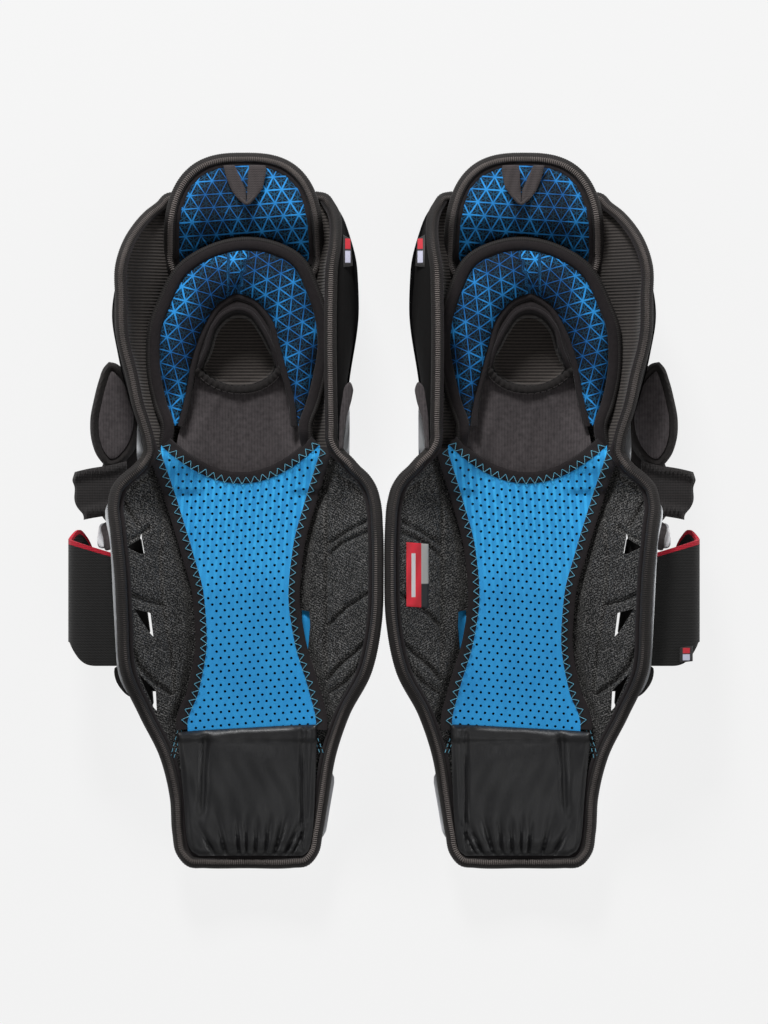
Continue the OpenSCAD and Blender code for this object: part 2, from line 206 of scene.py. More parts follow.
def make(name, side, points, faces, body, slot, replaces=(), plan=None, look=None, subdivide=0, fill=None,
         bend=False):
    """A piece of one guard. plan is the coordinate that its material reads, in millimetres, fill is not
    used, and bend leaves the piece unattached to its body, with its placement baked into its mesh."""
    mesh = bpy.data.meshes.new(name + "_" + side)
    mesh.from_pydata(place(points, side).tolist(), [], [tuple(f) for f in faces])
    outward = bmesh.new()
    outward.from_mesh(mesh)
    bmesh.ops.recalc_face_normals(outward, faces=outward.faces)
    outward.to_mesh(mesh)
    outward.free()
    read = np.array(points if plan is None else plan, np.float32)
    mesh.attributes.new("plan", "FLOAT_VECTOR", "POINT").data.foreach_set("vector", read.ravel())
    mesh.polygons.foreach_set("use_smooth", [True] * len(mesh.polygons))
    mesh.set_sharp_from_angle(angle=math.radians(CREASE_ANGLE))
    mesh.materials.append(MATERIALS[look or slot])
    mesh.update()
    piece = bpy.data.objects.new(name + "_" + side, mesh)
    bpy.context.scene.collection.objects.link(piece)
    if subdivide:
        smoother = piece.modifiers.new("Subdivision", "SUBSURF")
        smoother.levels = smoother.render_levels = subdivide
    if bend:
        ends = place([[0, y, 40] for y in THIGH_BEND], side)
        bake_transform(piece)
    else:
        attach(piece, body + "_" + side)
    if replaces:
        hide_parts(*[node + "_" + side for node in replaces])
    return piece


def pair(name, shape, body, slot, replaces=(), sides=SIDES, **more):
    """The same piece on both guards."""
    points, faces, *plan = shape
    if plan:
        more["plan"] = plan[0]
    return [make(name, side, points, faces, body, slot, replaces, **more) for side in sides]


def join(parts):
    """Several (points, faces) or (points, faces, plan) shapes as one."""
    points, faces, plans, base = [], [], [], 0
    for p, f, *plan in parts:
        points.append(np.array(p, float))
        plans.append(np.array(plan[0] if plan else p, float))
        faces += [tuple(i + base for i in face) for face in f]
        base += len(p)
    return np.vstack(points), faces, np.vstack(plans)


def grid_faces(rows, cols, wrap=False):
    span = cols if wrap else cols - 1
    return [(i * cols + j, i * cols + (j + 1) % cols, (i + 1) * cols + (j + 1) % cols, (i + 1) * cols + j)
            for i in range(rows - 1) for j in range(span)]


def slab(top, bottom):
    """Closed solid between two grids of points, rows running up y and columns up x."""
    rows, cols = top.shape[:2]
    n = rows * cols
    faces = grid_faces(rows, cols)
    faces += [tuple(n + i for i in reversed(f)) for f in grid_faces(rows, cols)]
    rim = (list(range(cols)) + [i * cols + cols - 1 for i in range(1, rows)]
           + [(rows - 1) * cols + j for j in range(cols - 2, -1, -1)]
           + [i * cols for i in range(rows - 2, 0, -1)])
    faces += [(a, n + a, n + b, b) for a, b in zip(rim, rim[1:] + rim[:1])]
    return np.vstack([top.reshape(-1, 3), bottom.reshape(-1, 3)]), faces


def lengths(path):
    return np.concatenate([[0], np.cumsum(np.linalg.norm(np.diff(path, axis=0), axis=1))])


def smooth_path(points, step):
    """A rounded path through a few points, with a point every step."""
    p = np.array(points, float)
    at = lengths(p)
    fine = np.linspace(at[0], at[-1], int(at[-1] / (step * 0.25)) + 2)
    tangent = np.gradient(p, at, axis=0)
    i = np.clip(np.searchsorted(at, fine, side="right") - 1, 0, len(at) - 2)
    h = (at[i + 1] - at[i])[:, None]
    t = ((fine - at[i]) / (at[i + 1] - at[i]))[:, None]
    out = ((1 + 2 * t) * (1 - t) ** 2 * p[i] + t * (1 - t) ** 2 * h * tangent[i]
           + t * t * (3 - 2 * t) * p[i + 1] + t * t * (t - 1) * h * tangent[i + 1])
    return even_path(out, step)


def smooth_loop(points, step):
    return smooth_path([*points, points[0]], step)[:-1]


def superellipse(centre, half, power, count):
    """Rounded rectangle in plan."""
    turn = np.linspace(0, 2 * math.pi, count, endpoint=False)
    way = np.column_stack([np.cos(turn), np.sin(turn)])
    return np.array(centre) + np.array(half) * np.sign(way) * np.abs(way) ** power


def left_of(path):
    """Unit vector to the left of a flat path at each of its points."""
    along = np.gradient(path, axis=0)
    return np.column_stack([-along[:, 1], along[:, 0]]) / np.linalg.norm(along, axis=1)[:, None]


def even_path(path, step):
    path = np.asarray(path, float)
    at = lengths(path)
    count = max(2, int(round(at[-1] / step)) + 1)
    even = np.linspace(0, at[-1], count)
    return np.stack([np.interp(even, at, path[:, k]) for k in range(path.shape[1])], axis=1)


def sweep(path, width, height, sides=10):
    """Oval rod along a path. width and height are half sizes, one number or one for each point.
    Returns points, faces and the plan: distance along, angle round, 0."""
    path = np.asarray(path, float)
    n = len(path)
    width, height = (np.broadcast_to(np.asarray(v, float), n) for v in (width, height))
    along = np.gradient(path, axis=0)
    flat = np.stack([along[:, 1], -along[:, 0], np.zeros(n)], axis=1)
    flat /= np.linalg.norm(flat, axis=1)[:, None] + 1e-9
    along = along / (np.linalg.norm(along, axis=1)[:, None] + 1e-9)
    up = np.cross(flat, along)
    angle = np.arange(sides) * 2 * math.pi / sides
    rings = (path[:, None] + (width[:, None] * np.cos(angle))[..., None] * flat[:, None]
             + (height[:, None] * np.sin(angle))[..., None] * up[:, None])
    faces = grid_faces(n, sides, wrap=True)
    faces += [tuple(range(sides)), tuple((n - 1) * sides + k for k in range(sides))]
    plan = np.zeros((n * sides, 3))
    plan[:, 0] = np.repeat(lengths(path), sides)
    plan[:, 1] = np.tile(angle * 3, n)
    return rings.reshape(-1, 3), faces, plan


def inside(points, loop):
    """Which points lie inside a closed outline."""
    x, y = points[:, 0:1], points[:, 1:2]
    x0, y0 = loop[:, 0], loop[:, 1]
    x1, y1 = np.roll(x0, -1), np.roll(y0, -1)
    crosses = (y0 > y) != (y1 > y)
    at = x0 + (y - y0) * (x1 - x0) / np.where(y1 == y0, 1e-9, y1 - y0)
    return (crosses & (x < at)).sum(axis=1) % 2 == 1


def nearest(points, others, chunk=2000):
    """Distance from each point to the nearest of the others."""
    out = np.empty(len(points))
    for i in range(0, len(points), chunk):
        d = points[i:i + chunk, None] - others[None]
        out[i:i + chunk] = np.sqrt((d ** 2).sum(axis=2).min(axis=1))
    return out


def closed_loop(points, step):
    p = np.asarray(points, float)
    return even_path(np.vstack([p, p[:1]]), step)[:-1]


def disc(centre, radius, sides=8):
    a = np.arange(sides) * 2 * math.pi / sides
    return np.stack([centre[0] + radius * np.cos(a), centre[1] + radius * np.sin(a)], axis=1)


def plate(outline, holes, step, top, bottom, discs=(), disc_r=0.0):
    """Closed sheet with holes. top and bottom give a height from x, y and the distance to the outline."""
    outer = closed_loop(outline, step)
    cuts = [closed_loop(h, min(step, 1.0)) for h in holes]
    rounds = [disc(c, disc_r) for c in discs]
    loops = [outer] + cuts + rounds
    low, high = outer.min(axis=0), outer.max(axis=0)
    rows = np.arange(low[1], high[1], step * 0.87)
    inner = np.array([(x, y) for i, y in enumerate(rows)
                      for x in np.arange(low[0] + (i % 2) * step / 2, high[0], step)])
    rim = np.vstack(loops)
    inner = inner[inside(inner, outer)]
    for cut in cuts:
        inner = inner[~inside(inner, cut)]
    inner = inner[nearest(inner, rim) > 0.55 * min(step, disc_r * 1.2 if len(rounds) else step)]
    if len(rounds):
        inner = inner[nearest(inner, np.array(discs)) > disc_r * 1.3]
    flat = np.vstack([rim, inner])
    links, base = [], 0
    for loop in loops:
        n = len(loop)
        links += [(base + i, base + (i + 1) % n) for i in range(n)]
        base += n
    found = delaunay_2d_cdt([Vector(p) for p in flat], links, [], 0, 1e-6)
    xy = np.array([tuple(v) for v in found[0]])
    tris = np.array(found[2])
    mid = xy[tris].mean(axis=1)
    keep = inside(mid, outer)
    for cut in cuts:
        keep &= ~inside(mid, cut)
    if len(rounds):
        keep &= nearest(mid, np.array(discs)) > disc_r * 0.93
    tris = tris[keep]
    a, b, c = xy[tris[:, 0]], xy[tris[:, 1]], xy[tris[:, 2]]
    area = (b[:, 0] - a[:, 0]) * (c[:, 1] - a[:, 1]) - (b[:, 1] - a[:, 1]) * (c[:, 0] - a[:, 0])
    tris = np.where((area < 0)[:, None], tris[:, ::-1], tris)[np.abs(area) > 1e-7]
    used = np.unique(tris)
    renumber = np.zeros(len(xy), int)
    renumber[used] = np.arange(len(used))
    xy, tris = xy[used], renumber[tris]
    away = nearest(xy, closed_loop(outline, min(step, 1.0)))
    x, y = xy[:, 0], xy[:, 1]
    n = len(xy)
    points = np.vstack([np.column_stack([x, y, face(x, y, away) + 0 * away]) for face in (top, bottom)])
    faces = [tuple(t) for t in tris] + [tuple(n + i for i in t[::-1]) for t in tris]
    sides = {(t[i], t[(i + 1) % 3]) for t in tris for i in range(3)}
    faces += [(i, n + i, n + j, j) for i, j in sides if (j, i) not in sides]
    return points, faces


def inflate(points, faces, pressure, cap, pinned):
    """Cloth simulation of a closed pad: remeshed, blown up a little where it isn't pinned, and read back."""
    mesh = bpy.data.meshes.new("pad")
    mesh.from_pydata((np.asarray(points) * MM).tolist(), [], [tuple(f) for f in faces])
    pad = bpy.data.objects.new("pad", mesh)
    scene = bpy.context.scene
    scene.collection.objects.link(pad)
    remesh = pad.modifiers.new("Remesh", "REMESH")
    remesh.mode = "VOXEL"
    remesh.voxel_size = PAD_VOXEL * MM
    pad.data = bpy.data.meshes.new_from_object(pad.evaluated_get(bpy.context.evaluated_depsgraph_get()))
    pad.modifiers.clear()
    start = np.zeros(len(pad.data.vertices) * 3)
    pad.data.vertices.foreach_get("co", start)
    start = start.reshape(-1, 3) / MM
    result = start
    group = pad.vertex_groups.new(name="pin")
    for i, weight in enumerate(pinned(start)):
        if weight > 0:
            group.add([i], float(weight), "REPLACE")
    cloth = pad.modifiers.new("Cloth", "CLOTH").settings
    cloth.quality = 6
    cloth.mass = 0.2
    cloth.tension_stiffness = cloth.compression_stiffness = CLOTH_STIFFNESS
    cloth.shear_stiffness = CLOTH_STIFFNESS / 2
    cloth.bending_stiffness = 0.4
    cloth.use_pressure = True
    cloth.uniform_pressure_force = pressure
    cloth.effector_weights.gravity = 0
    cloth.vertex_group_mass = "pin"
    for frame_number in range(1, CLOTH_FRAMES + 1):
        scene.frame_set(frame_number)
    moved = pad.evaluated_get(bpy.context.evaluated_depsgraph_get()).to_mesh()
    end = np.zeros(len(moved.vertices) * 3)
    moved.vertices.foreach_get("co", end)
    shift = end.reshape(-1, 3) / MM - start
    size = np.linalg.norm(shift, axis=1)[:, None]
    result = start + shift * np.minimum(1, cap / np.maximum(size, 1e-9))
    scene.frame_set(1)
    out = [tuple(p.vertices) for p in pad.data.polygons]
    bpy.data.objects.remove(pad)
    return result, out


# ---------------------------------------------------------------- materials

class Graph:
    """Short names for building one material's nodes."""

    def __init__(self, roughness=0.8, specular=0.5, metallic=0.0, coat=0.0, sheen=0.0):
        self.material = bpy.data.materials.new("finish")
        self.material.use_nodes = True
        self.nodes = self.material.node_tree.nodes
        self.links = self.material.node_tree.links
        self.shader = self.nodes["Principled BSDF"]
        for key, value in (("Roughness", roughness), ("Specular IOR Level", specular), ("Metallic", metallic),
                           ("Coat Weight", coat), ("Coat Roughness", COAT_ROUGHNESS),
                           ("Sheen Weight", sheen), ("Sheen Roughness", 0.5)):
            self.shader.inputs[key].default_value = value
        read = self.nodes.new("ShaderNodeAttribute")
        read.attribute_name = "plan"
        self.plan = read.outputs["Vector"]
        split = self.nodes.new("ShaderNodeSeparateXYZ")
        self.links.new(self.plan, split.inputs[0])
        self.x, self.y, self.z = split.outputs

    def put(self, socket, value):
        if isinstance(value, bpy.types.NodeSocket):
            self.links.new(value, socket)
        elif isinstance(value, (tuple, list)) and len(value) == 3 and len(socket.default_value) == 4:
            socket.default_value = (*value, 1)
        else:
            socket.default_value = value

    def math(self, kind, a, b=0.0, c=0.0):
        node = self.nodes.new("ShaderNodeMath")
        node.operation = kind
        for socket, value in zip(node.inputs, (a, b, c)):
            self.put(socket, value)
        return node.outputs[0]

    def mul(self, a, b):
        return self.math("MULTIPLY", a, b)

    def add(self, a, b):
        return self.math("ADD", a, b)

    def scaled(self, value, factor, shift):
        return self.math("MULTIPLY_ADD", value, factor, shift)

    def noise(self, scale, detail=2.0, roughness=0.5, stretch=None):
        node = self.nodes.new("ShaderNodeTexNoise")
        node.inputs["Scale"].default_value = scale
        node.inputs["Detail"].default_value = detail
        node.inputs["Roughness"].default_value = roughness
        self.links.new(self.stretched(stretch), node.inputs["Vector"])
        return node.outputs["Fac"]

    def cells(self, scale, stretch=None):
        node = self.nodes.new("ShaderNodeTexVoronoi")
        node.inputs["Scale"].default_value = scale
        self.links.new(self.stretched(stretch), node.inputs["Vector"])
        return node.outputs["Distance"]

    def stretched(self, stretch):
        """The plan, scaled along its axes."""
        if stretch is None:
            return self.plan
        node = self.nodes.new("ShaderNodeMapping")
        node.inputs["Scale"].default_value = stretch
        self.links.new(self.plan, node.inputs["Vector"])
        return node.outputs[0]

    def ramp(self, value, low, high, out_low=0.0, out_high=1.0):
        node = self.nodes.new("ShaderNodeMapRange")
        node.interpolation_type = "SMOOTHSTEP"
        for socket, v in zip(node.inputs, (value, low, high, out_low, out_high)):
            self.put(socket, v)
        return node.outputs[0]

    def blend(self, factor, a, b):
        node = self.nodes.new("ShaderNodeMix")
        node.data_type = "RGBA"
        self.put(node.inputs[0], factor)
        self.put(node.inputs[6], a)
        self.put(node.inputs[7], b)
        return node.outputs[2]

    def waves(self, coordinate, period):
        """0 to 1 and back once each period."""
        turn = self.mul(coordinate, 2 * math.pi / period)
        return self.scaled(self.math("SINE", turn), 0.5, 0.5)

    def turned(self, degrees):
        """Distance across the plan in a direction."""
        a = math.radians(degrees)
        return self.add(self.mul(self.x, math.cos(a)), self.mul(self.y, math.sin(a)))

    def lines(self, degrees, spacing, half_width, soft=0.25, offset=0.0):
        """1 on straight lines whose normal points that way."""
        s = self.add(self.turned(degrees), offset)
        away = self.math("PINGPONG", s, spacing / 2)
        return self.ramp(away, half_width, self.add(half_width, soft), 1.0, 0.0)

    def top(self, *values):
        out = values[0]
        for v in values[1:]:
            out = self.math("MAXIMUM", out, v)
        return out

    def bump(self, height, distance):
        node = self.nodes.new("ShaderNodeBump")
        node.inputs["Strength"].default_value = 1.0
        node.inputs["Distance"].default_value = distance * MM
        self.links.new(height, node.inputs["Height"])
        self.links.new(node.outputs[0], self.shader.inputs["Normal"])

    def colour(self, value):
        self.put(self.shader.inputs["Base Color"], value)

    def rough(self, value):
        self.put(self.shader.inputs["Roughness"], value)


def knit(dark, light, pitch=0.9, sheen=0.08, bump=0.15):
    """Fine knit: wales up the cloth, courses across it, and a soft mottle."""
    g = Graph(roughness=0.9, sheen=sheen, specular=0.25)
    wales = g.waves(g.x, pitch)
    courses = g.waves(g.y, pitch * 0.8)
    knit = g.mul(wales, g.scaled(courses, 0.6, 0.4))
    mottle = g.noise(0.35, 4)
    g.colour(g.blend(g.add(g.mul(knit, 0.45), g.mul(mottle, 0.55)), dark, light))
    g.bump(g.add(knit, g.mul(mottle, 0.4)), bump)
    return g.material


def piping(dark=(0.002, 0.002, 0.002), light=(0.024, 0.020, 0.019)):
    """Ribbed binding tape, with its ribs across it; the rib tops are painted lighter, a painted highlight on
    top of the ribs' bump.
    """
    g = Graph(roughness=0.7, sheen=0.03, specular=0.3)
    ribs = g.ramp(g.waves(g.x, RIB_PITCH), 0.25, 0.75)
    wear = g.noise(0.05, 3)
    # The ribs' share of the tone lightens the colour on the rib tops: painted highlight.
    tone = g.add(g.mul(ribs, 0.55), g.mul(wear, 0.45))
    g.colour(g.blend(tone, dark, light))
    g.bump(ribs, 0.12)
    return g.material


def rib_knit_fabric():
    """Heavy rib knit with its ribs across the guard."""
    g = Graph(roughness=0.9, sheen=0.2, specular=0.25)
    ribs = g.waves(g.y, 2.3)
    loops = g.waves(g.x, 0.8)
    yarn = g.mul(ribs, g.scaled(loops, 0.35, 0.65))
    shade = g.add(g.mul(yarn, 0.7), g.mul(g.noise(0.6, 3), 0.3))
    g.colour(g.blend(shade, (0.003, 0.002, 0.002), (0.092, 0.078, 0.070)))
    g.bump(yarn, 0.5)
    return g.material


def spacer_fabric():
    """Coarse spacer mesh: small open cells in slanting rows, with light threads between them."""
    g = Graph(roughness=0.85, sheen=0.05, specular=0.3)
    cells = g.cells(0.95, stretch=(1.0, 1.25, 1.0))
    threads = g.ramp(cells, 0.38, 0.74)
    slant = g.waves(g.turned(62), 1.7)
    patches = g.noise(0.06, 3)
    tone = g.mul(threads, g.scaled(slant, 0.6, 0.4))
    tone = g.mul(tone, g.scaled(patches, 1.1, 0.4))
    g.colour(g.blend(tone, (0.001, 0.001, 0.001), (0.17, 0.166, 0.160)))
    g.bump(g.add(threads, g.mul(slant, 0.5)), 0.35)
    return g.material


def panel_fabric():
    """Blue moulded fabric: fine grain and faint ribs up its length."""
    g = Graph(roughness=0.62, sheen=0.05, specular=0.35)
    ribs = g.ramp(g.waves(g.turned(-4), 5.4), 0.3, 1.0)
    fade = g.ramp(g.y, 170.0, 275.0, 0.15, 1.3)
    grain = g.noise(2.2, 2)
    shade = g.add(g.mul(g.mul(ribs, fade), 0.35),
                  g.add(g.mul(grain, 0.35), g.mul(g.noise(0.04, 2), 0.45)))
    g.colour(g.blend(shade, (0.006, 0.20, 0.54), (0.042, 0.50, 1.0)))
    g.bump(g.add(grain, g.mul(g.mul(ribs, fade), 2.0)), 0.12)
    return g.material


def pattern_fabric():
    """Printed triangles: bright blue lattice, thinner lines through it, on near black."""
    side = 11.0
    g = Graph(roughness=0.75, sheen=0.02, specular=0.2)
    glow = g.ramp(g.noise(0.028, 2), 0.38, 0.66)
    width = g.scaled(glow, 0.32, 0.10)
    high = side * math.sqrt(3) / 2
    bold = g.top(*[g.lines(a + 4, high, width, 0.4) for a in (90, 150, 30)])
    fine = g.top(*[g.lines(a + 4, side / 2, 0.12, 0.35) for a in (0, 60, 120)])
    inner = g.top(*[g.lines(a + 4, high, 0.1, 0.3, offset=high / 2.6) for a in (90, 150, 30)])
    ground = g.blend(g.noise(0.9, 2), (0.001, 0.0015, 0.002), (0.006, 0.007, 0.009))
    dim = g.mul(g.top(fine, g.mul(inner, 0.5)), g.scaled(glow, 0.45, 0.14))
    tinted = g.blend(dim, ground, (0.010, 0.17, 0.38))
    bright = g.blend(glow, (0.006, 0.10, 0.34), (0.03, 0.32, 0.80))
    g.colour(g.blend(bold, tinted, bright))
    weave = g.mul(g.waves(g.x, 0.7), g.waves(g.y, 0.7))
    g.bump(g.add(weave, g.mul(bold, 0.8)), 0.12)
    return g.material


def nylon_fabric():
    """Closely woven nylon with a soft shine."""
    g = Graph(roughness=0.42, sheen=0.02, specular=0.5)
    threads = g.mul(g.waves(g.x, 0.8), g.waves(g.y, 0.8))
    weave = g.scaled(threads, 0.5, g.mul(g.noise(3.0, 2, stretch=(1.0, 0.5, 1.0)), 0.5))
    slubs = g.noise(0.5, 3, stretch=(4.0, 0.5, 1.0))
    g.colour(g.blend(g.add(g.mul(weave, 0.4), g.mul(slubs, 0.4)),
                     (0.002, 0.002, 0.0024), (0.018, 0.018, 0.020)))
    g.rough(g.ramp(slubs, 0.3, 0.7, 0.36, 0.52))
    g.bump(weave, 0.08)
    return g.material


def twill(dark, light, pitch=0.9, angle=55):
    """Dense elastic: fine slanting ridges and lengthwise ribs."""
    g = Graph(roughness=0.82, sheen=0.07, specular=0.3)
    ridges = g.waves(g.turned(angle), pitch)
    cords = g.waves(g.y, pitch * 1.6)
    tone = g.add(g.mul(ridges, 0.4), g.add(g.mul(cords, 0.3), g.mul(g.noise(0.4, 3), 0.3)))
    g.colour(g.blend(tone, dark, light))
    g.bump(g.add(ridges, cords), 0.12)
    return g.material


def moulded(base, worn, roughness, coat):
    """Moulded plastic: faint mottle, fine scuffs and a clear skin."""
    g = Graph(roughness=roughness, coat=coat)
    scuffs = g.ramp(g.noise(0.22, 6, 0.7, stretch=(1.0, 6.0, 1.0)), 0.55, 0.8)
    g.colour(g.blend(g.mul(scuffs, 0.5), base, worn))
    g.rough(g.ramp(scuffs, 0.0, 1.0, roughness, min(1.0, roughness + 0.25)))
    g.bump(g.noise(1.4, 3), 0.03)
    return g.material


def steel():
    g = Graph(roughness=0.35, metallic=1.0)
    g.colour(g.blend(g.noise(0.8, 3), (0.45, 0.45, 0.46), (0.68, 0.68, 0.7)))
    g.bump(g.noise(6.0, 2, stretch=(1.0, 12.0, 1.0)), 0.02)
    return g.material


def small_tag_fabric():
    """Dark woven tag with a plain red block above a plain pale one."""
    g = Graph(roughness=0.6, sheen=0.1)
    satin = g.waves(g.turned(45), 0.5)
    middle = g.mul(g.ramp(g.x, 0.2, 0.26), g.ramp(g.x, 0.8, 0.74))
    low = g.mul(middle, g.mul(g.ramp(g.y, 0.12, 0.16), g.ramp(g.y, 0.52, 0.48)))
    high = g.mul(middle, g.mul(g.ramp(g.y, 0.54, 0.58), g.ramp(g.y, 0.9, 0.86)))
    cloth = g.blend(high, (0.008, 0.007, 0.007), (0.50, 0.008, 0.022))
    g.colour(g.blend(low, cloth, (0.50, 0.50, 0.62)))
    g.bump(satin, 0.08)
    return g.material


def tag_fabric():
    """Woven tag: red satin with a plain pale bar, folded over a pale and black edge, no lettering."""
    g = Graph(roughness=0.55, sheen=0.04)
    satin = g.waves(g.turned(45), 0.5)
    red = g.blend(satin, (0.58, 0.003, 0.012), (0.82, 0.008, 0.028))
    bar = g.mul(g.ramp(g.x, 0.58, 0.6), g.ramp(g.x, 0.78, 0.76))
    bar = g.mul(bar, g.mul(g.ramp(g.y, 0.16, 0.18), g.ramp(g.y, 0.84, 0.82)))
    edge_part = g.ramp(g.x, 0.34, 0.32)
    edge_colour = g.blend(g.ramp(g.y, 0.36, 0.38), (0.006, 0.006, 0.006), (0.42, 0.41, 0.39))
    g.colour(g.blend(edge_part, g.blend(bar, red, (0.75, 0.72, 0.72)), edge_colour))
    g.bump(satin, 0.08)
    return g.material


MATERIALS = {
    "shell_white": moulded((0.88, 0.90, 0.93), (0.70, 0.71, 0.74), 0.32, 0.3),
    "shell_black": moulded((0.006, 0.006, 0.0065), (0.02, 0.02, 0.021), 0.34, 0.25),
    "rivet_steel": steel(),
    "foam_fabric": knit((0.003, 0.003, 0.003), (0.016, 0.014, 0.014)),
    "spacer_mesh": spacer_fabric(),
    "blue_panel": panel_fabric(),
    "dark_binding": knit((0.005, 0.004, 0.005), (0.028, 0.022, 0.023)),
    "pocket_nylon": nylon_fabric(),
    "ribbed_piping": piping(),
    # A much lighter copy of the piping finish for the thin cord on the piping's crest: a painted highlight.
    "ribbed_cord_painted_highlight": piping((0.003, 0.003, 0.003), (0.18, 0.155, 0.145)),
    "jersey": knit((0.005, 0.004, 0.0045), (0.130, 0.113, 0.117), pitch=1.1, bump=0.18, sheen=0.1),
    # A darker copy of the foam knit for the knee's sloping sides: painted shade, not a different fabric.
    "side_foam_painted_shade": knit((0.001, 0.001, 0.001), (0.006, 0.005, 0.005), sheen=0.0),
    "rib_knit": rib_knit_fabric(),
    "pattern_fabric": pattern_fabric(),
    "anchor_plastic": moulded((0.014, 0.014, 0.014), (0.04, 0.04, 0.04), 0.5, 0.0),
    "woven_tag": tag_fabric(),
    "small_tag": small_tag_fabric(),
    "webbing": twill((0.020, 0.017, 0.018), (0.090, 0.076, 0.076), pitch=1.1),
    "gathered_elastic": twill((0.002, 0.002, 0.002), (0.030, 0.026, 0.026), pitch=1.2, angle=0),
    "flap_fabric": knit((0.004, 0.004, 0.004), (0.028, 0.023, 0.022)),
    "strap_elastic": twill((0.001, 0.001, 0.001), (0.013, 0.0125, 0.012), pitch=1.3),
    "strap_red": twill((0.22, 0.002, 0.008), (0.55, 0.012, 0.035), pitch=0.9),
    "hook_plastic": moulded((0.02, 0.02, 0.02), (0.05, 0.05, 0.05), 0.6, 0.0),
    "stitch_thread": twill((0.10, 0.40, 0.60), (0.25, 0.66, 0.85), pitch=0.5),
}
for key, material in MATERIALS.items():
    material.name = key


# ---------------------------------------------------------------- camera, floor and light

def stage():
    scene = bpy.context.scene
    scene.view_settings.view_transform = "Standard"
    view_height = 0.7373
    aim_z = 0.05
    camera = bpy.data.objects.new("camera", bpy.data.cameras.new("camera"))
    camera.data.lens = 180
    camera.data.sensor_width = 36
    camera.data.clip_end = 20
    camera.location = (0, -0.001, aim_z + view_height * camera.data.lens / camera.data.sensor_width)
    scene.collection.objects.link(camera)
    scene.camera = camera

    floor_mesh = bpy.data.meshes.new("floor")
    floor_mesh.from_pydata([(-6, -6, 0), (6, -6, 0), (6, 6, 0), (-6, 6, 0)], [], [(0, 1, 2, 3)])
    floor = bpy.data.objects.new("floor", floor_mesh)
    scene.collection.objects.link(floor)
    pale = Graph(roughness=1.0, specular=0.0)
    pale.colour(pale.blend(pale.noise(2.0, 2), (0.085, 0.085, 0.085), (0.09, 0.09, 0.09)))
    pale.shader.inputs["Emission Color"].default_value = (1, 1, 1, 1)
    pale.shader.inputs["Emission Strength"].default_value = 0.82
    pale.material.name = "floor"
    floor_mesh.materials.append(pale.material)

    world = bpy.data.worlds.new("world")
    world.use_nodes = True
    world.node_tree.nodes["Background"].inputs["Color"].default_value = (1, 1, 1, 1)
    world.node_tree.nodes["Background"].inputs["Strength"].default_value = 0.26
    scene.world = world
    for name, spot, power, size in (("key", (-0.45, 2.3, 1.45), 72, 0.6), ("fill", (0.7, -1.2, 2.6), 9, 1.6),
                                    ("right", (2.3, 0.1, 0.5), 15, 1.0), ("left", (-2.3, 0.1, 0.5), 12, 1.0)):
        lamp = bpy.data.lights.new(name, "AREA")
        lamp.energy = power
        lamp.size = size
        light = bpy.data.objects.new(name, lamp)
        light.location = spot
        light.rotation_euler = (-Vector(spot)).to_track_quat("-Z", "Y").to_euler()
        scene.collection.objects.link(light)


stage()

# ---------------------------------------------------------------- hard shells

# Each vent is a dark opening in the wing with a narrow slit through foam and shell along its inner edge.
VENTS = ([[-84, 232], [-75, 237.5], [-74, 242], [-71.5, 227], [-74.6, 227]],
         [[-79, 188], [-67.6, 184.5], [-65.6, 167], [-69.0, 171]],
         [[-76, 141], [-64.2, 128.5], [-63.6, 113.5], [-65.9, 116]])
SLITS = ([[-75.4, 241], [-72.6, 241.5], [-70.6, 227.2], [-73.2, 227.2]],
         [[-70.6, 185.5], [-67.4, 185], [-65.4, 167], [-68.4, 167.5]],
         [[-67.4, 128], [-63.8, 127.5], [-62.8, 113], [-66.4, 113.5]])
SHELL_SLITS = [[[x - (4.2 if i in (0, 3) else 0.4), y] for i, (x, y) in enumerate(slit)] for slit in SLITS]


def outline(ys, left, right):
    """Closed outline from two side lines, given as functions of y."""
    return np.vstack([np.column_stack([left(ys), ys]), np.column_stack([right(ys) + 0 * ys, ys])[::-1]])


def shell_groove(x, y):
    """Moulded relief on the outer face: two long flutes, a keel line and cross steps, in millimetres."""
    share = np.abs(x) / edge(x, y)
    flutes = notch(share, 0.36, 0.05) + notch(share, 0.74, 0.035)
    steps = notch((y + 34 * share) % 52, 26, 3.2) * ease((share - 0.36) / 0.06) * ease((0.74 - share) / 0.06)
    return 1.1 * np.clip(flutes + 0.8 * steps, 0, 1)


def shell_faces():
    def top(x, y, away):
        return shell_z(x, y) + SHELL_WALL - drop(away, 1.1, 1.6)

    def bottom(x, y, away):
        return shell_z(x, y) + drop(away, 0.9, 1.6) + shell_groove(x, y) * ease(away / 5)
    return top, bottom


def shin_shell():
    ys = span(0, 300)
    lip = 3.2 * ease((ys - 119) / 12) * ease((268 - ys) / 10)
    foot_lip = 3.6 * ease((ys - 18) / 6) * ease((70 - ys) / 6)
    shape = outline(ys, lambda y: 1.5 - lip - edge(-1, y),
                    lambda y: edge(1, y) - 1.5 + foot_lip)
    pair("shin_shell", plate(shape, SHELL_SLITS, 4.0, *shell_faces()), "guard", "shell_white", ["shin_shell"])


def knee_shell():
    ys = span(300.5, 484)
    shape = outline(ys, lambda y: -edge(-1, y), lambda y: edge(1, y))
    pair("knee_shell", plate(shape, [], 4.0, *shell_faces()), "guard", "shell_black", ["knee_shell"])


def on_shell(shape, slots=()):
    """Flat plate fixed to the outside of the shell."""
    return plate(shape, slots, 2.5, lambda x, y, away: shell_z(x, y) - 1.3,
                 lambda x, y, away: shell_z(x, y) - 3.3 + drop(away, 0.8, 1.5))


def shell_links():
    links = [on_shell(superellipse((middle, 316), (7.4, 30), 0.45, 40)) for middle in (-69.6, 68)]
    pair("shell_links", join(links), "guard", "shell_white", ["shell_links"])


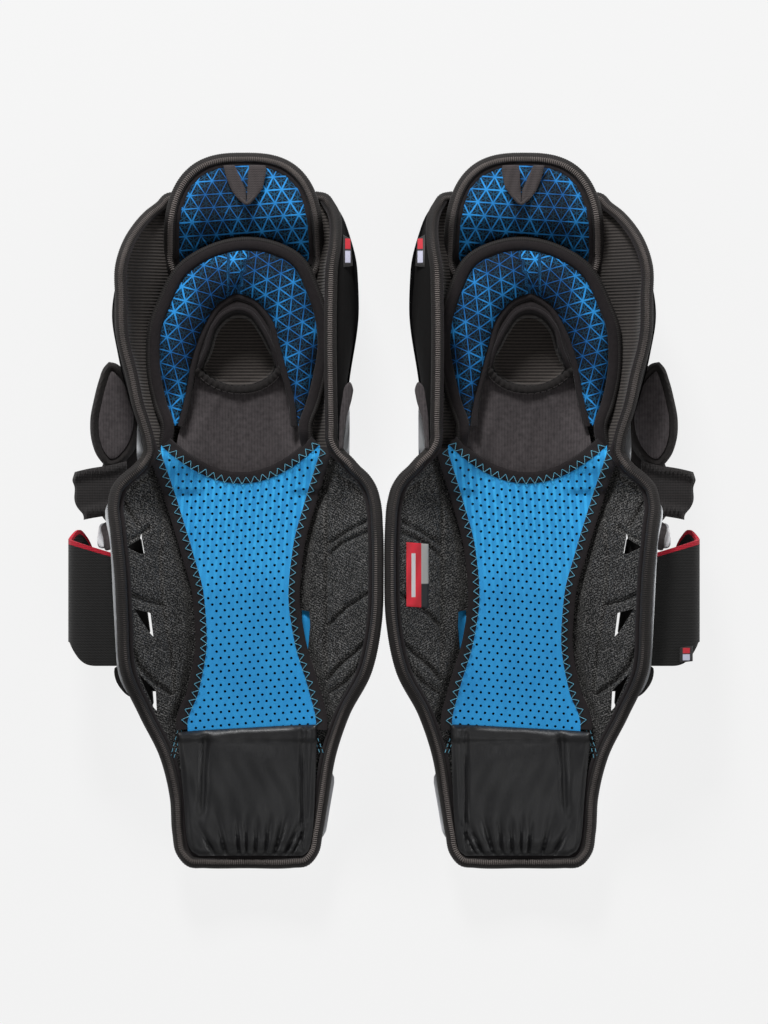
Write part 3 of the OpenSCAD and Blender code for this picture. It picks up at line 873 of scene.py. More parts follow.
def strap_anchor():
    shape = outline(span(150, 236, 3), lambda y: -71 + 5.4 * ease((21 - np.abs(y - 177)) / 6),
                    lambda y: -57)
    slots = [[[-64.4, y], [-58.6, y], [-58.6, y + 3], [-64.4, y + 3]] for y in (176, 211)]
    pair("strap_anchor", on_shell(shape, slots), "guard", "anchor_plastic", ["strap_anchor"])


def rivet(x, y):
    """Domed head with a small centre dimple, square to the shell under it."""
    slope = 2 * side_rise(y) * x / edge(x, y) ** 2
    lean = -math.atan(slope)
    radii = (0.0, 0.7, 1.1, 2.2, 2.9, 3.2, 3.2)
    drops = (5.0, 5.0, 5.5, 5.4, 5.0, 4.3, 3.4)
    sides = 24
    turn = np.arange(sides) * 2 * math.pi / sides
    rings = [[r * math.cos(t), r * math.sin(t), -d] for r, d in zip(radii[1:], drops[1:]) for t in turn]
    points = np.array(rings + [[0, 0, -drops[0]], [0, 0, -drops[-1]]])
    tip, last = len(rings), len(rings) - sides
    faces = grid_faces(len(radii) - 1, sides, wrap=True)
    faces += [(tip, (k + 1) % sides, k) for k in range(sides)]
    faces += [(tip + 1, last + k, last + (k + 1) % sides) for k in range(sides)]
    c, s = math.cos(lean), math.sin(lean)
    turned = points @ np.array([[c, 0, -s], [0, 1, 0], [s, 0, c]])
    return turned + [x, y, float(shell_z(x, y))], faces


def shell_rivets():
    spots = ((-70, 290), (-70, 340), (68, 290), (68, 340), (-61, 157), (-61.5, 195), (-64, 228))
    pair("shell_rivets", join([rivet(*s) for s in spots]), "guard", "rivet_steel", ["shell_rivets"])


# ---------------------------------------------------------------- shin liner

# Pressed creases in the spacer mesh, each a line of points, and how deep it is in millimetres.
CREASES = (
    ([[-89, 270], [-83, 258], [-77, 247]], 1.5), ([[-69, 246], [-76, 240], [-86, 235]], 1.8),
    ([[-82.4, 199], [-72.7, 194], [-60, 190.5]], 2.2),
    ([[-81.7, 161], [-75.5, 146], [-66, 135], [-54, 126]], 2.2),
    ([[-93, 228], [-93, 200], [-91, 180], [-84, 150], [-74, 124], [-60, 96]], 1.0),
    ([[-58, 262], [-62, 225], [-60, 190], [-55, 160], [-52, 128]], 0.9),
    ([[59, 290], [59, 240], [59, 180], [59, 131]], 1.2),
    ([[59.4, 225], [70.4, 235], [93, 245]], 1.8), ([[60, 234], [74.6, 243.5], [92, 252.5]], 1.8),
    ([[59.4, 174.6], [73.2, 188.4], [89.7, 199.4]], 2.0),
    ([[59.4, 136], [67.7, 146], [80, 157], [89.7, 166]], 2.2),
    ([[61, 127], [72, 134], [82, 146], [89, 158]], 1.6),
    ([[60, 289], [75, 279], [87, 268], [91, 252], [93, 200], [90, 168], [82, 142], [70, 118], [60, 92]], 1.0),
    ([[-60, 290], [-72, 281], [-86, 274]], 1.3),
)
# The pit under the slot in the inner wing, and that slot.
SLOT_PIT = [[36, 192], [52, 190], [51, 148], [37, 150]]
BLUE_SLOT = [[40.6, 186], [46.3, 185.2], [46.6, 174.6], [45, 157], [40.8, 174]]


def crease(x, y):
    out = np.zeros_like(x)
    here = np.column_stack([x, y])
    for line, depth in CREASES:
        away = nearest(here, even_path(np.array(line, float), 0.8))
        out = np.maximum(out, depth * 2.0 * np.exp(-(away / 1.5) ** 2))
    return out


def recess(x, y):
    """Trough beside the band of the suspension panel, 0 to 1."""
    past = np.where(x < 0, -x - panel_outer(y), x - panel_inner(y))
    return (1 - ease((past - 10) / 6)) * ease((y - 60) / 30)


def shin_foam():
    def top(x, y, away):
        here = np.column_stack([x, y])
        pit = np.zeros(len(x))
        for vent in VENTS:
            pit = np.maximum(pit, inside(here, np.array(vent, float)))
        pit = np.maximum(pit, 0.25 * inside(here, np.array(SLOT_PIT, float)))
        return liner_z(x, y) - 5.9 - 20 * pit - drop(away, 2.5, 3) - 4.5 * recess(x, y)

    def bottom(x, y, away):
        return shell_z(x, y) + SHELL_WALL + 0.6
    shape = outline(span(2, 300), lambda y: 2.6 - edge(-1, y), lambda y: edge(1, y) - 2.6)
    foam = plate(shape, SLITS, 3.2, top, bottom)
    pair("shin_foam", foam, "guard", "foam_fabric", ["shin_foam"], fill=1.0)


def wing(left, right, holes):
    def top(x, y, away):
        swell = 1.8 * ease(away / 9)
        return liner_z(x, y) - 0.9 + swell - crease(x, y) - 5.0 * recess(x, y)

    def bottom(x, y, away):
        return liner_z(x, y) - WING_WALL - 3.5 * recess(x, y)
    return plate(outline(span(20, 298, 3), left, right), holes, 1.5, top, bottom)


def wings():
    outer = wing(lambda y: 8.2 - edge(-1, y), lambda y: 7 - panel_outer(y), VENTS)
    pair("outer_wing", outer, "guard", "spacer_mesh", ["outer_wing"])
    inner = wing(lambda y: panel_inner(y) - 7, lambda y: edge(1, y) - 8.2, [BLUE_SLOT])
    pair("inner_wing", inner, "guard", "spacer_mesh", ["inner_wing"])
    pane = plate([[38, 190], [50, 188], [49, 150], [39, 152]], [], 2.0,
                 lambda x, y, away: liner_z(x, y) - 5.0 - 2.5 * ease((y - 178) / 10),
                 lambda x, y, away: liner_z(x, y) - 8.4)
    pair("slot_fabric", pane, "guard", "blue_panel")


def panel_top(x):
    """Upper edge of the suspension panel, dipping in the middle."""
    return 306 - 28.5 * np.clip(1 - ((x + 3.5) / 57.5) ** 2, 0, 1)


def panel_holes():
    spots = []
    for i, row in enumerate(np.arange(16, 306, HOLE_ROW)):
        for x in np.arange(-66 + (i % 2) * HOLE_PITCH / 2, 64, HOLE_PITCH):
            bow = 4.5 * ease((row - 200) / 90) * (1 - ((x + 4) / 56) ** 2)
            y = row + x * 0.095 - bow
            left, right = -panel_outer(y), panel_inner(y)
            if left + 2.6 < x < right - 2.6 and 96 < y < panel_top(x) - 3:
                spots.append([x, y])
    return spots


def suspension_panel():
    ys = span(14, 305, 3)
    sides = np.column_stack([-panel_outer(ys), ys])
    xs = span(-60.5, 54.5, 3)
    over = np.column_stack([xs, panel_top(xs)])
    back = np.column_stack([panel_inner(ys), ys])[::-1]
    shape = np.vstack([sides, over, back])

    def top(x, y, away):
        pull = 0.35 * np.sin(x * 1.15 - y * 0.05) * ease((y - 200) / 60)
        return panel_z(x, y) + 1.4 + pull

    def bottom(x, y, away):
        return panel_z(x, y)
    panel = plate(shape, [], 3.0, top, bottom, discs=panel_holes(), disc_r=HOLE_R)
    pair("suspension_panel", panel, "guard", "blue_panel", ["suspension_panel"])


def band(path, width, height, lift):
    """Flat fabric strip that runs along the left of a path, its edges rolled down."""
    cols = 7
    path = even_path(path, 2.0)
    normal = left_of(path)
    share = np.linspace(0, 1, cols)
    top = np.zeros((len(path), cols, 3))
    for j, s in enumerate(share):
        xy = path + normal * width * s
        roll = 0.9 * (1 - ease(min(s, 1 - s) / 0.18))
        top[:, j, :2] = xy
        top[:, j, 2] = height(xy[:, 0], xy[:, 1]) + lift - roll
    bottom = top - [0, 0, 1.4]
    points, faces = slab(top, bottom)
    plan = np.zeros_like(points)
    run = np.repeat(lengths(path), cols)
    plan[:, 0] = np.tile(np.tile(share * width, len(path)), 2)
    plan[:, 1] = np.tile(run, 2)
    return points, faces, plan


def band_paths():
    """The edges of the panel, all with the panel on their right: up, across the top and down."""
    up = span(100, 303, 3)
    left = np.column_stack([-panel_outer(up), up])
    xs = span(-59, 53.5, 3)
    over = np.column_stack([xs, panel_top(xs)])
    down = up[::-1]
    return left, over, np.column_stack([panel_inner(down), down])


def panel_binding():
    left, over, right = band_paths()
    parts = [band(p, 8.2, panel_z, lift) for p, lift in ((left, 2.3), (over, 2.9), (right, 2.3))]
    pair("panel_binding", join(parts), "guard", "dark_binding", ["panel_binding"])


def thread(points, r=0.28):
    return sweep(points, r, r, sides=5)


def zigzag(path, height, lift, near, far, pitch):
    """Zigzag stitch that crosses a seam: near and far are its reach to the right and left of the path."""
    path = even_path(path, pitch / 2)
    reach = np.where(np.arange(len(path)) % 2 == 0, -near, far)[:, None]
    corner = path + left_of(path) * reach
    rows = []
    for a, b in zip(corner, corner[1:]):
        for t in (0.04, 0.35, 0.65, 0.96):
            x, y = mix(a, b, t)
            arch = 0.25 * math.sin(math.pi * t)
            rows.append([x, y, float(height(x, y)) + lift + arch])
    return thread(rows)


def dashes(a, b, count, gap):
    """Row of short stitches from a to b."""
    parts = []
    for i in range(count):
        ends = [mix(np.array(a, float), np.array(b, float), (i + k) / count) for k in (0.1, 1 - gap)]
        middle = mix(ends[0], ends[1], 0.5)
        rows = [[*p, float(liner_z(*p)) + h] for p, h in ((ends[0], 1.4), (middle, 1.9), (ends[1], 1.4))]
        parts.append(thread(rows))
    return parts


def stitching():
    left, over, right = band_paths()
    parts = [zigzag(left[1:], panel_z, 2.7, 0.5, 4.4, 6.8), zigzag(over, panel_z, 3.3, 0.6, 4.6, 6.4),
             zigzag(right[:-1], panel_z, 2.7, 0.5, 4.4, 6.8)]
    for shift in (0, 2.6):
        parts += dashes((-45 - shift, 104), (-52 - shift, 78), 6, 0.35)
        parts += dashes((48 + shift, 98), (54 + shift, 82), 4, 0.35)
    pair("panel_stitching", join(parts), "guard", "blue_panel", look="stitch_thread")


PLEATS = ((-24, 0.50, 2.4, 2.2), (-15, 0.22, 2.8, 1.9), (-5, 0.05, 2.6, 1.3), (0.5, 0.02, 2.0, 1.1),
          (7, -0.04, 2.6, 1.5), (14, -0.12, 2.0, 1.2), (21, -0.28, 2.6, 1.7), (29, -0.45, 2.4, 1.6),
          (34, -0.5, 1.6, 1.1))


def ankle_pocket():
    """Nylon pocket, gathered along its foot and folded down both sides."""
    ys = span(8, 97, 3)
    left = curve([[8, 34], [12, 40], [22, 43], [50, 45], [98, 49.5]])
    right = curve([[8, 41], [12, 45.5], [30, 48.8], [98, 51.8]])
    rim = np.column_stack([span(-49, 51.5, 3), 98.2 + 0.055 * (span(-49, 51.5, 3) + 49)])
    shape = np.vstack([np.column_stack([-left(ys), ys]), rim, np.column_stack([right(ys), ys])[::-1]])

    def top(x, y, away):
        width = np.clip((x + left(y)) / (left(y) + right(y)), 0, 1)
        fold = ease((44 - y) / 30) * (0.6 + 0.4 * ease((y - 9) / 5))
        pleats = np.zeros_like(x)
        for centre, lean, depth, size in PLEATS:
            pleats += 1.4 * depth * notch(x + lean * (y - 10), centre, 0.9 * size * (1 + (y - 10) * 0.03))
        sides = 3.4 * notch(x, -29 - 0.04 * (98 - y), 3.0) * ease((y - 26) / 20) + 2.4 * notch(x, 40.5, 1.5)
        sides += 1.4 * notch(x, 44.5, 1.2)
        puff = 3.8 * ease(away / 12) * (0.5 + 0.5 * np.sin(math.pi * width)) * ease((101 - y) / 26)
        lip = 1.6 * ease(away / 1.2) * ease((y - 90) / 4)
        drape = 0.6 * np.sin(x * 0.13 + 1.6 * np.sin(y * 0.06)) + 0.45 * np.sin(y * 0.17 + x * 0.09)
        drape += 0.4 * np.sin(x * 0.5 + y * 0.12 + 1.5 * np.sin(y * 0.1)) * (0.4 + 0.6 * ease((60 - y) / 40))
        shape_z = puff + 2.2 * ease(away / 4) - pleats * fold * ease(away / 2) - sides * ease(away / 8)
        return panel_z(x, y) + 2.4 + shape_z + lip + drape * ease(away / 9)

    def bottom(x, y, away):
        return panel_z(x, y) + 1.6
    pair("ankle_pocket", plate(shape, [], 1.3, top, bottom), "guard", "pocket_nylon", ["ankle_pocket"])


# ---------------------------------------------------------------- pipings

def ribbed(path, width, height, relief=0.16, sides=12):
    """Piping with small ribs across it."""
    path = smooth_path(path, RIB_PITCH / 2)
    swell = np.where(np.arange(len(path)) % 2 == 0, relief, -relief)
    return sweep(path, width + swell, height + swell, sides=sides)


def guard_line(inset, lift):
    """The piping's way: down from the knee's outer top, round the ankle and up to its inner top."""
    up = np.array([308, 318, 332, 353, 384, 410, 431, 448, 460, 470, 478, 483.0])
    down = np.array([299, 293, 287, 281, 274, 264, 245, 215, 180, 145, 112, 81, 50, 24, 11.0])
    line = []
    for side in (-1, 1):
        knee = np.column_stack([side * (ridge(side, up) - 0.55 * (inset - PIPING_R)), up,
                                ridge_height(up) + 0.6 + lift])
        pull = inset - 1.4 * ease((down - 287) / 10)
        shin = np.column_stack([side * (edge(side, down) - pull), down])
        high = np.maximum(liner_z(shin[:, 0], shin[:, 1]) - 1.0, 75.4 * (down > 290))
        shin = np.column_stack([shin, high + lift])
        over_x = side * (ridge(side, 482.0) - 0.4 * inset - 4.5)
        over = [over_x, 486.6 - 0.5 * inset, 37.5 + lift]
        line.append(np.vstack([[over], knee[::-1], shin]))
    foot = np.array([[-42.5 + inset * 0.5, 3.9], [-30, 2.9], [0, 2.6], [34, 3.1], [45 - inset * 0.5, 4.4]])
    foot = foot + [0, 0.85 * (inset - PIPING_R)]
    foot = np.column_stack([foot, liner_z(foot[:, 0], foot[:, 1]) - 1.0 + lift])
    return np.vstack([line[0], foot, line[1][::-1]])


def guard_binding():
    roll = ribbed(guard_line(PIPING_R, 0.0), PIPING_R, PIPING_R)
    pair("guard_binding", roll, "guard", "ribbed_piping", ["shin_binding", "knee_binding"])
    tape = sweep(smooth_path(guard_line(PIPING_R + 4.8, 0.6), 2.0), 2.2, 1.6, sides=8)
    pair("guard_tape", tape, "guard", "dark_binding")
    # A thin light ribbed cord along the piping's crest: a painted highlight.
    highlight_cord = ribbed(guard_line(PIPING_R + 0.8, 3.8), 1.7, 1.1, relief=0.36, sides=8)
    pair("guard_highlight_cord", highlight_cord, "guard", "ribbed_piping", look="ribbed_cord_painted_highlight")


# ---------------------------------------------------------------- knee

foam_floor = curve([[300, 20], [340, 14], [375, 12], [410, 15], [450, 22], [482, 29]])

RING_OUTER = [[-52, 319], [-57.5, 336], [-62, 358], [-62.6, 374], [-61.5, 388], [-55.5, 405], [-42, 429.5],
              [-26, 440], [-9, 445.5], [2, 446.5], [16, 444.5], [35, 435], [45, 416], [51, 398], [53.2, 379],
              [50, 356], [45, 336], [39.5, 319]]
RING_INNER = [[-48, 319], [-46, 327], [-42.5, 343], [-38.8, 364], [-34, 380], [-27.3, 395], [-20.8, 405],
              [-13, 411], [-7, 414], [0, 412.5], [7.5, 409], [14, 402.5], [19, 395], [24.2, 377],
              [30.6, 354], [33.5, 343], [35.7, 331], [36.5, 319]]
HOLLOW = [[-34.3, 359], [-31.5, 366], [-28.5, 373.2], [-22.5, 391.5], [-14.4, 400.2], [-5.4, 403.4],
          [3.6, 400.8], [11.3, 391.2], [17.7, 379.6], [24.2, 360.3], [22, 356], [11.3, 348.7],
          [-4.1, 345.5], [-20.8, 348.7], [-31.5, 355.5]]


def knee_foam():
    ys = span(300, 482, 2.5)
    shares = np.concatenate([np.linspace(-1, -0.75, 14), np.linspace(-0.7, 0.7, 17),
                             np.linspace(0.75, 1, 14)])
    grid = np.array([[[s * float(ridge(s, y)), y] for s in shares] for y in ys])
    x, y = grid[..., 0], grid[..., 1]
    top = mix(foam_floor(y), ridge_height(y) - 4, np.abs(shares)[None, :] ** 8)
    bottom = shell_z(x, y) + 4.3
    top = np.maximum(top, bottom + 1)
    gusset = slab(np.dstack([grid, top]), np.dstack([grid, bottom]))
    pair("knee_foam", gusset, "guard", "rib_knit", ["knee_foam"], fill=1.0)


def knee_sides():
    parts = []
    ys = span(303, 484, 2.5)
    for side in (-1, 1):
        rows = []
        for y in ys:
            inner = side * float(ridge(side, y))
            outer = side * max(abs(inner) + 1.2, float(edge(side, y)) - 1.6)
            share = np.linspace(0, 1, 12)
            xs = mix(inner, outer, share)
            fall = abs(outer - inner) * (0.62 * share + 0.5 * share ** 4)
            crown = 1.2 * np.sin(math.pi * share)
            z = float(ridge_height(y)) - 1.2 - fall + crown
            rows.append(np.column_stack([xs, np.full(len(xs), y), z]))
        top = np.array(rows)
        low = top.copy()
        low[..., 2] = np.minimum(top[..., 2] - 2, shell_z(top[..., 0], top[..., 1]) + 3.4)
        parts.append(slab(top, low))
    # The knee's sides use the darker copy of the foam knit, which is painted shade.
    pair("knee_sides", join(parts), "guard", "foam_fabric", look="side_foam_painted_shade", fill=1.0)


def ring_grid(out_line, in_line, across, along):
    """Points between two edge lines, along rows from tip to tip."""
    def even(line):
        path = smooth_path(line, 1.0)
        at = lengths(path) / lengths(path)[-1]
        return np.column_stack([np.interp(np.linspace(0, 1, along), at, path[:, k]) for k in range(2)])
    outer, inner = even(out_line), even(in_line)
    share = np.linspace(0, 1, across)
    return outer[:, None] * (1 - share[None, :, None]) + inner[:, None] * share[None, :, None], share


def ring_base(y):
    """Height of the seam round the knee ring."""
    return 46 + 5.0 * ease((345 - y) / 30) + 1.0 * ease((y - 425) / 20)


def knee_ring():
    grid, share = ring_grid(RING_OUTER, RING_INNER, 15, 110)
    y = grid[..., 1]
    width = np.linalg.norm(grid[:, 0] - grid[:, -1], axis=1)[:, None]
    crown = np.minimum(9.5, width * 0.34) * np.sin(math.pi * share)[None, :] ** 0.62
    top = ring_base(y) - 1 + crown
    bottom = ring_base(y) - 1 - 0.55 * crown - 1.2
    points, faces = slab(np.dstack([grid, top]), np.dstack([grid, bottom]))

    def pinned(p):
        rim = np.vstack([grid[:, 0], grid[:, -1]])
        return np.clip(1.15 - nearest(p[:, :2], rim) / 6.0, 0, 1)
    points, faces = inflate(points, faces, 2.6, 3.2, pinned)
    seam = np.array([[3.5, 447.0], [1.5, 437], [-1.5, 427], [-6, 414]])
    edge_seam = np.array([[-12, 446.0], [-11, 434], [-12, 424], [-13, 411]])
    for line, depth, size in ((seam, 3.4, 1.5), (edge_seam, 0.9, 1.3)):
        near = nearest(points[:, :2], even_path(line, 0.5))
        points[:, 2] -= depth * np.exp(-(near / size) ** 2) * (points[:, 2] > 47)
    plan = np.zeros_like(points)
    x, y = points[:, 0], points[:, 1]
    lobe = np.where(x < -12 + (y - 446) * 0.03, 1, np.where(x > 3.5 - (447 - y) * 0.28, -1, 0))
    turn = np.radians(lobe * 20.0)
    plan[:, 0] = x * np.cos(turn) - y * np.sin(turn)
    plan[:, 1] = x * np.sin(turn) + y * np.cos(turn)
    pair("knee_ring", (points, faces, plan), "guard", "pattern_fabric", ["knee_ring"], subdivide=1, fill=0.8)


def around(line, shift, height):
    """A line moved sideways in plan, to its left, at a height."""
    path = smooth_path(line, 1.0)
    moved = path + left_of(path) * shift
    return np.column_stack([moved, height(moved[:, 1])])


def ring_binding():
    """Flat band outside the ring pad, its ribbed rolled edge, and the lips along the pad."""
    outer = np.array([[-57, 294], [-54, 304], *RING_OUTER, [41, 306], [43, 296]])
    low = curve([[298, 53], [319, 52.5], [340, 48.5], [380, 47], [430, 46.5], [450, 46.5]])

    def laid(shift, lift):
        path = around(outer, shift, low)
        under = panel_z(path[:, 0], np.minimum(path[:, 1], 299)) - 2.2
        near_panel = ease((316 - path[:, 1]) / 12)
        path[:, 2] = mix(path[:, 2], np.minimum(path[:, 2], under), near_panel) + lift
        return path
    flat = sweep(laid(3.0, 0.0), 4.0, 2.5, sides=12)
    pair("ring_band", flat, "guard", "dark_binding")
    roll = ribbed(laid(6.6, -1.0), 2.4, 2.6)
    pair("ring_binding", roll, "guard", "ribbed_piping", ["ring_binding"])
    inner = sweep(around(RING_INNER, -1.6, lambda y: ring_base(y) - 2.4), 2.4, 2.6, sides=10)
    pair("ring_lip", inner, "guard", "dark_binding")


def hollow_rim_z(y):
    return mix(36.5, 45.5, ease((y - 347) / 24))


def knee_lining():
    """Hollow behind the knee cap: a dark wall falls from its rim to a rib knit floor."""
    rim = smooth_loop(HOLLOW, 1.5)
    centre = np.array([-5.0, 372.0])
    scale = np.array([1.36, 1.24, 1.12, 1.04, 1.0, 0.975, 0.95, 0.92, 0.88, 0.82, 0.7, 0.55, 0.4, 0.25, 0.1])
    top = np.zeros((len(scale), len(rim), 3))
    for i, s in enumerate(scale):
        reach = np.where(rim[:, 1] < 358, min(s, 1.03), s)[:, None]
        xy = centre + (rim - centre) * reach
        floor = 23 + 7 * ((xy[:, 0] + 5) / 30) ** 2 + 5 * ((xy[:, 1] - 372) / 36) ** 2
        fall = ease((1.0 - s) / 0.2)
        rim_z = hollow_rim_z(xy[:, 1])
        skirt = 5.0 * ease((s - 1.04) / 0.3) * ease((xy[:, 1] - 352) / 10)
        top[i, :, :2] = xy
        top[i, :, 2] = mix(rim_z, floor, fall) - skirt
    wall = top[:9]
    floor = top[7:]
    parts = []
    for grid, cap in ((wall, False), (floor, True)):
        rows, cols = grid.shape[:2]
        low = grid - [0, 0, 2.0]
        n = rows * cols
        ring = [(j, (j + 1) % cols) for j in range(cols)]
        faces = grid_faces(rows, cols, wrap=True)
        faces += [tuple(n + i for i in f[::-1]) for f in faces]
        faces += [(a, n + a, n + b, b) for a, b in ring]
        last = (rows - 1) * cols
        if cap:
            faces += [tuple(last + j for j in range(cols)), tuple(n + last + j for j in range(cols))[::-1]]
        else:
            faces += [(last + a, last + b, n + last + b, n + last + a) for a, b in ring]
        parts.append((np.vstack([grid.reshape(-1, 3), low.reshape(-1, 3)]), faces))
    pair("hollow_wall", parts[0], "guard", "dark_binding")
    pair("knee_lining", parts[1], "guard", "rib_knit", ["knee_lining"])
    edge_line = np.array(HOLLOW[:10], float)
    rolled = smooth_path(np.column_stack([edge_line, hollow_rim_z(edge_line[:, 1]) + 0.4]), 1.0)
    pair("hollow_rim", sweep(rolled, 1.7, 1.6, sides=10), "guard", "dark_binding")
    seam = np.array([[-36, 360], [-31.8, 355.5], [-20.8, 348.5], [-4.1, 345], [11.3, 348], [21.5, 355],
                     [26, 361]], float)
    padded = smooth_path(np.column_stack([seam, hollow_rim_z(seam[:, 1]) + 1.2]), 0.8)
    phase = lengths(padded) * 2 * math.pi / 4.6
    seam_roll = sweep(padded, 3.0 + 0.35 * np.sin(phase), 2.2 + 0.4 * np.sin(phase), sides=12)
    pair("hollow_seam", seam_roll, "guard", "flap_fabric")
    parts = []
    at = even_path(padded, 2.3) + [0.5, -2.6, 1.0]
    for a, b in zip(at[2:-3], at[3:-2]):
        parts.append(thread([a, mix(a, b, 0.5) + [0, -0.2, 0.5], b], 0.34))
    pair("hollow_stitches", join(parts), "guard", "webbing")


def mesh_tongue():
    rows = np.linspace(0, 1, 42)
    xs = np.linspace(0, 1, 46)
    grid = np.zeros((len(rows), len(xs), 3))
    for i, row in enumerate(rows):
        flat_y = mix(276, 350, row)
        left = -50 + 14 * ease((flat_y - 290) / 62)
        right = 42 - 13 * ease((flat_y - 290) / 62)
        x = mix(left, right, xs)
        y = mix(276, 345 + 13 * ((x + 5) / 30) ** 2, row)
        fold = 0.9 * notch(x + 0.55 * (350 - y), -14, 4.0) + 0.7 * notch(x - 0.5 * (350 - y), 6, 4.5)
        fold += 0.35 * np.sin(x * 0.42 + y * 0.11) * ease((350 - y) / 20)
        sag = 1.5 * np.sin(math.pi * xs) * ease((352 - y) / 30)
        grid[i] = np.column_stack([x, y, tongue_z(x, y) + 2.2 + fold - sag])
    pair("mesh_tongue", slab(grid, grid - [0, 0, 2.2]), "guard", "jersey", ["mesh_tongue"])


# ---------------------------------------------------------------- thigh

def thigh_arc(inset):
    """Outline of the thigh piece from its outer lower end, over the top, to the inner one."""
    reach = 12
    turn = np.radians(np.linspace(180 + reach, -reach, 90))
    c, s = np.cos(turn), np.sin(turn)
    half = THIGH_HALF - inset
    rise = 2 * HALF_LENGTH - THIGH_START - inset
    x = -1 + half * np.sign(c) * np.abs(c) ** (2 / THIGH_POWER)
    leg = np.maximum(0, -s) / math.sin(math.radians(reach))
    y = np.where(s < 0, THIGH_START - 17 * leg, THIGH_START + rise * np.abs(s) ** (2 / THIGH_POWER))
    return x * (1 - 0.13 * leg ** 1.6), y


def thigh_side_z(x, y):
    """Height of the thigh piece, whose legs fall behind the knee ring."""
    return thigh_z(x) - 21.0 * ease((474 - y) / 38)


def thigh_binding():
    def path(x, y, lift):
        return np.column_stack([x, y, thigh_side_z(x, y) + THIGH_WALL / 2 + lift])
    x, y = thigh_arc(PIPING_R)
    keep = np.concatenate([[True], np.hypot(np.diff(x), np.diff(y)) > 0.05])
    x, y = x[keep], y[keep]
    roll = ribbed(path(x, y, 1.0), PIPING_R, PIPING_R)
    pair("thigh_binding", roll, "thigh", "ribbed_piping", ["thigh_binding"], bend=True)
    # A thin light ribbed cord along the thigh piping's crest: a painted highlight.
    highlight_cord = ribbed(path(x, y, 5.0) * [0.99, 1, 1] - [0, 0.8, 0], 1.8, 1.0, relief=0.34)
    pair("thigh_highlight_cord", highlight_cord, "thigh", "ribbed_piping", look="ribbed_cord_painted_highlight", bend=True)
    x, y = thigh_arc(PIPING_R + 5.0)
    x, y = x[keep], y[keep]
    tape = sweep(smooth_path(path(x, y, 2.6)[4:-4], 2.0), 2.3, 1.8)
    pair("thigh_tape", tape, "thigh", "dark_binding", bend=True)


def thigh_outline(inset, low_edge):
    x, y = thigh_arc(inset)
    keep = y > low_edge(x)
    arc = np.column_stack([x, y])[keep]
    xs = np.linspace(arc[-1, 0], arc[0, 0], 30)[1:-1]
    return np.vstack([arc, np.column_stack([xs, low_edge(xs)])])


def thigh_pad():
    pad = plate(thigh_outline(6.5, lambda x: 458 - 22 * (x / 52) ** 2), [], 3.0,
                lambda x, y, away: thigh_side_z(x, y) + THIGH_WALL - 1.5 - drop(away, 3, 4),
                lambda x, y, away: thigh_side_z(x, y) + drop(away, 1.5, 4))
    pair("thigh_pad", pad, "thigh", "foam_fabric", ["thigh_pad"], fill=0.9, bend=True)


def thigh_liner():
    shape = thigh_outline(9.4, lambda x: 456 - 26 * (x / 50) ** 2)

    def tuck(x, y):
        return 3.0 * ease((461 - 22 * (x / 50) ** 2 - y) / 12)

    def top(x, y, away):
        return thigh_side_z(x, y) + THIGH_WALL - 0.6 + 4.2 * ease(away / 14) - tuck(x, y)

    def bottom(x, y, away):
        return thigh_side_z(x, y) + THIGH_WALL - 3.4 - tuck(x, y)
    points, faces = plate(shape, [], 2.2, top, bottom)
    rim = closed_loop(shape, 1.0)

    def pinned(p):
        return np.clip(1.1 - nearest(p[:, :2], rim) / 7.0, 0, 1)
    points, faces = inflate(points, faces, 2.2, 3.0, pinned)
    pair("thigh_liner", (points, faces), "thigh", "pattern_fabric", ["thigh_liner"], subdivide=1, fill=0.7,
         bend=True)


def pull_loop():
    """Flat webbing folded into a V and sewn under the top binding."""
    outer_arm = [[-15.4, 506], [-7.4, 506.5], [-4.5, 500], [0.8, 488], [1.5, 477.6], [-3.5, 480.5], [-9, 487],
                 [-13, 496]]
    inner_arm = [[3.0, 506.5], [15.2, 506], [15.1, 500], [13, 490], [8, 483], [1.5, 477.6], [1.7, 488],
                 [2.4, 500]]
    parts = []
    for shape, lift in ((outer_arm, 0.0), (inner_arm, 0.9)):
        def top(x, y, away):
            curl = 0.9 * notch(y, 479, 5) + 0.4 * np.sin(x * 0.9 + y * 0.25)
            return thigh_z(x) + 17.4 + lift - drop(away, 1.0, 1.3) + curl
        parts.append(plate(shape, [], 1.3, top, lambda x, y, away: thigh_z(x) + 15.6 + lift))
    fold = sweep(smooth_path([[-3.6, 482.6, 58], [1.4, 478.6, 59], [7.2, 483.8, 58.4]], 0.8), 1.2, 1.4)
    pair("pull_loop", join(parts + [fold]), "loop", "webbing", ["pull_loop"])


# ---------------------------------------------------------------- flaps and straps

LEAF = [[-98.0, 365], [-101.6, 361], [-105, 352], [-108.6, 338], [-111.2, 323], [-110.2, 308],
        [-105.5, 296], [-98, 289], [-91, 290], [-83, 297], [-76.5, 309], [-74, 322], [-75.5, 336],
        [-80.5, 350], [-87, 359], [-93, 364]]


def shrink(loop, inset):
    """A closed outline moved inwards."""
    loop = closed_loop(loop, 1.0)
    ahead = np.roll(loop, -3, axis=0) - np.roll(loop, 3, axis=0)
    normal = np.column_stack([ahead[:, 1], -ahead[:, 0]]) / np.linalg.norm(ahead, axis=1)[:, None]
    area = np.sum(loop[:, 0] * np.roll(loop[:, 1], -1) - np.roll(loop[:, 0], -1) * loop[:, 1])
    moved = loop - normal * inset * (1 if area > 0 else -1)
    return moved[nearest(moved, loop) > inset * 0.93]


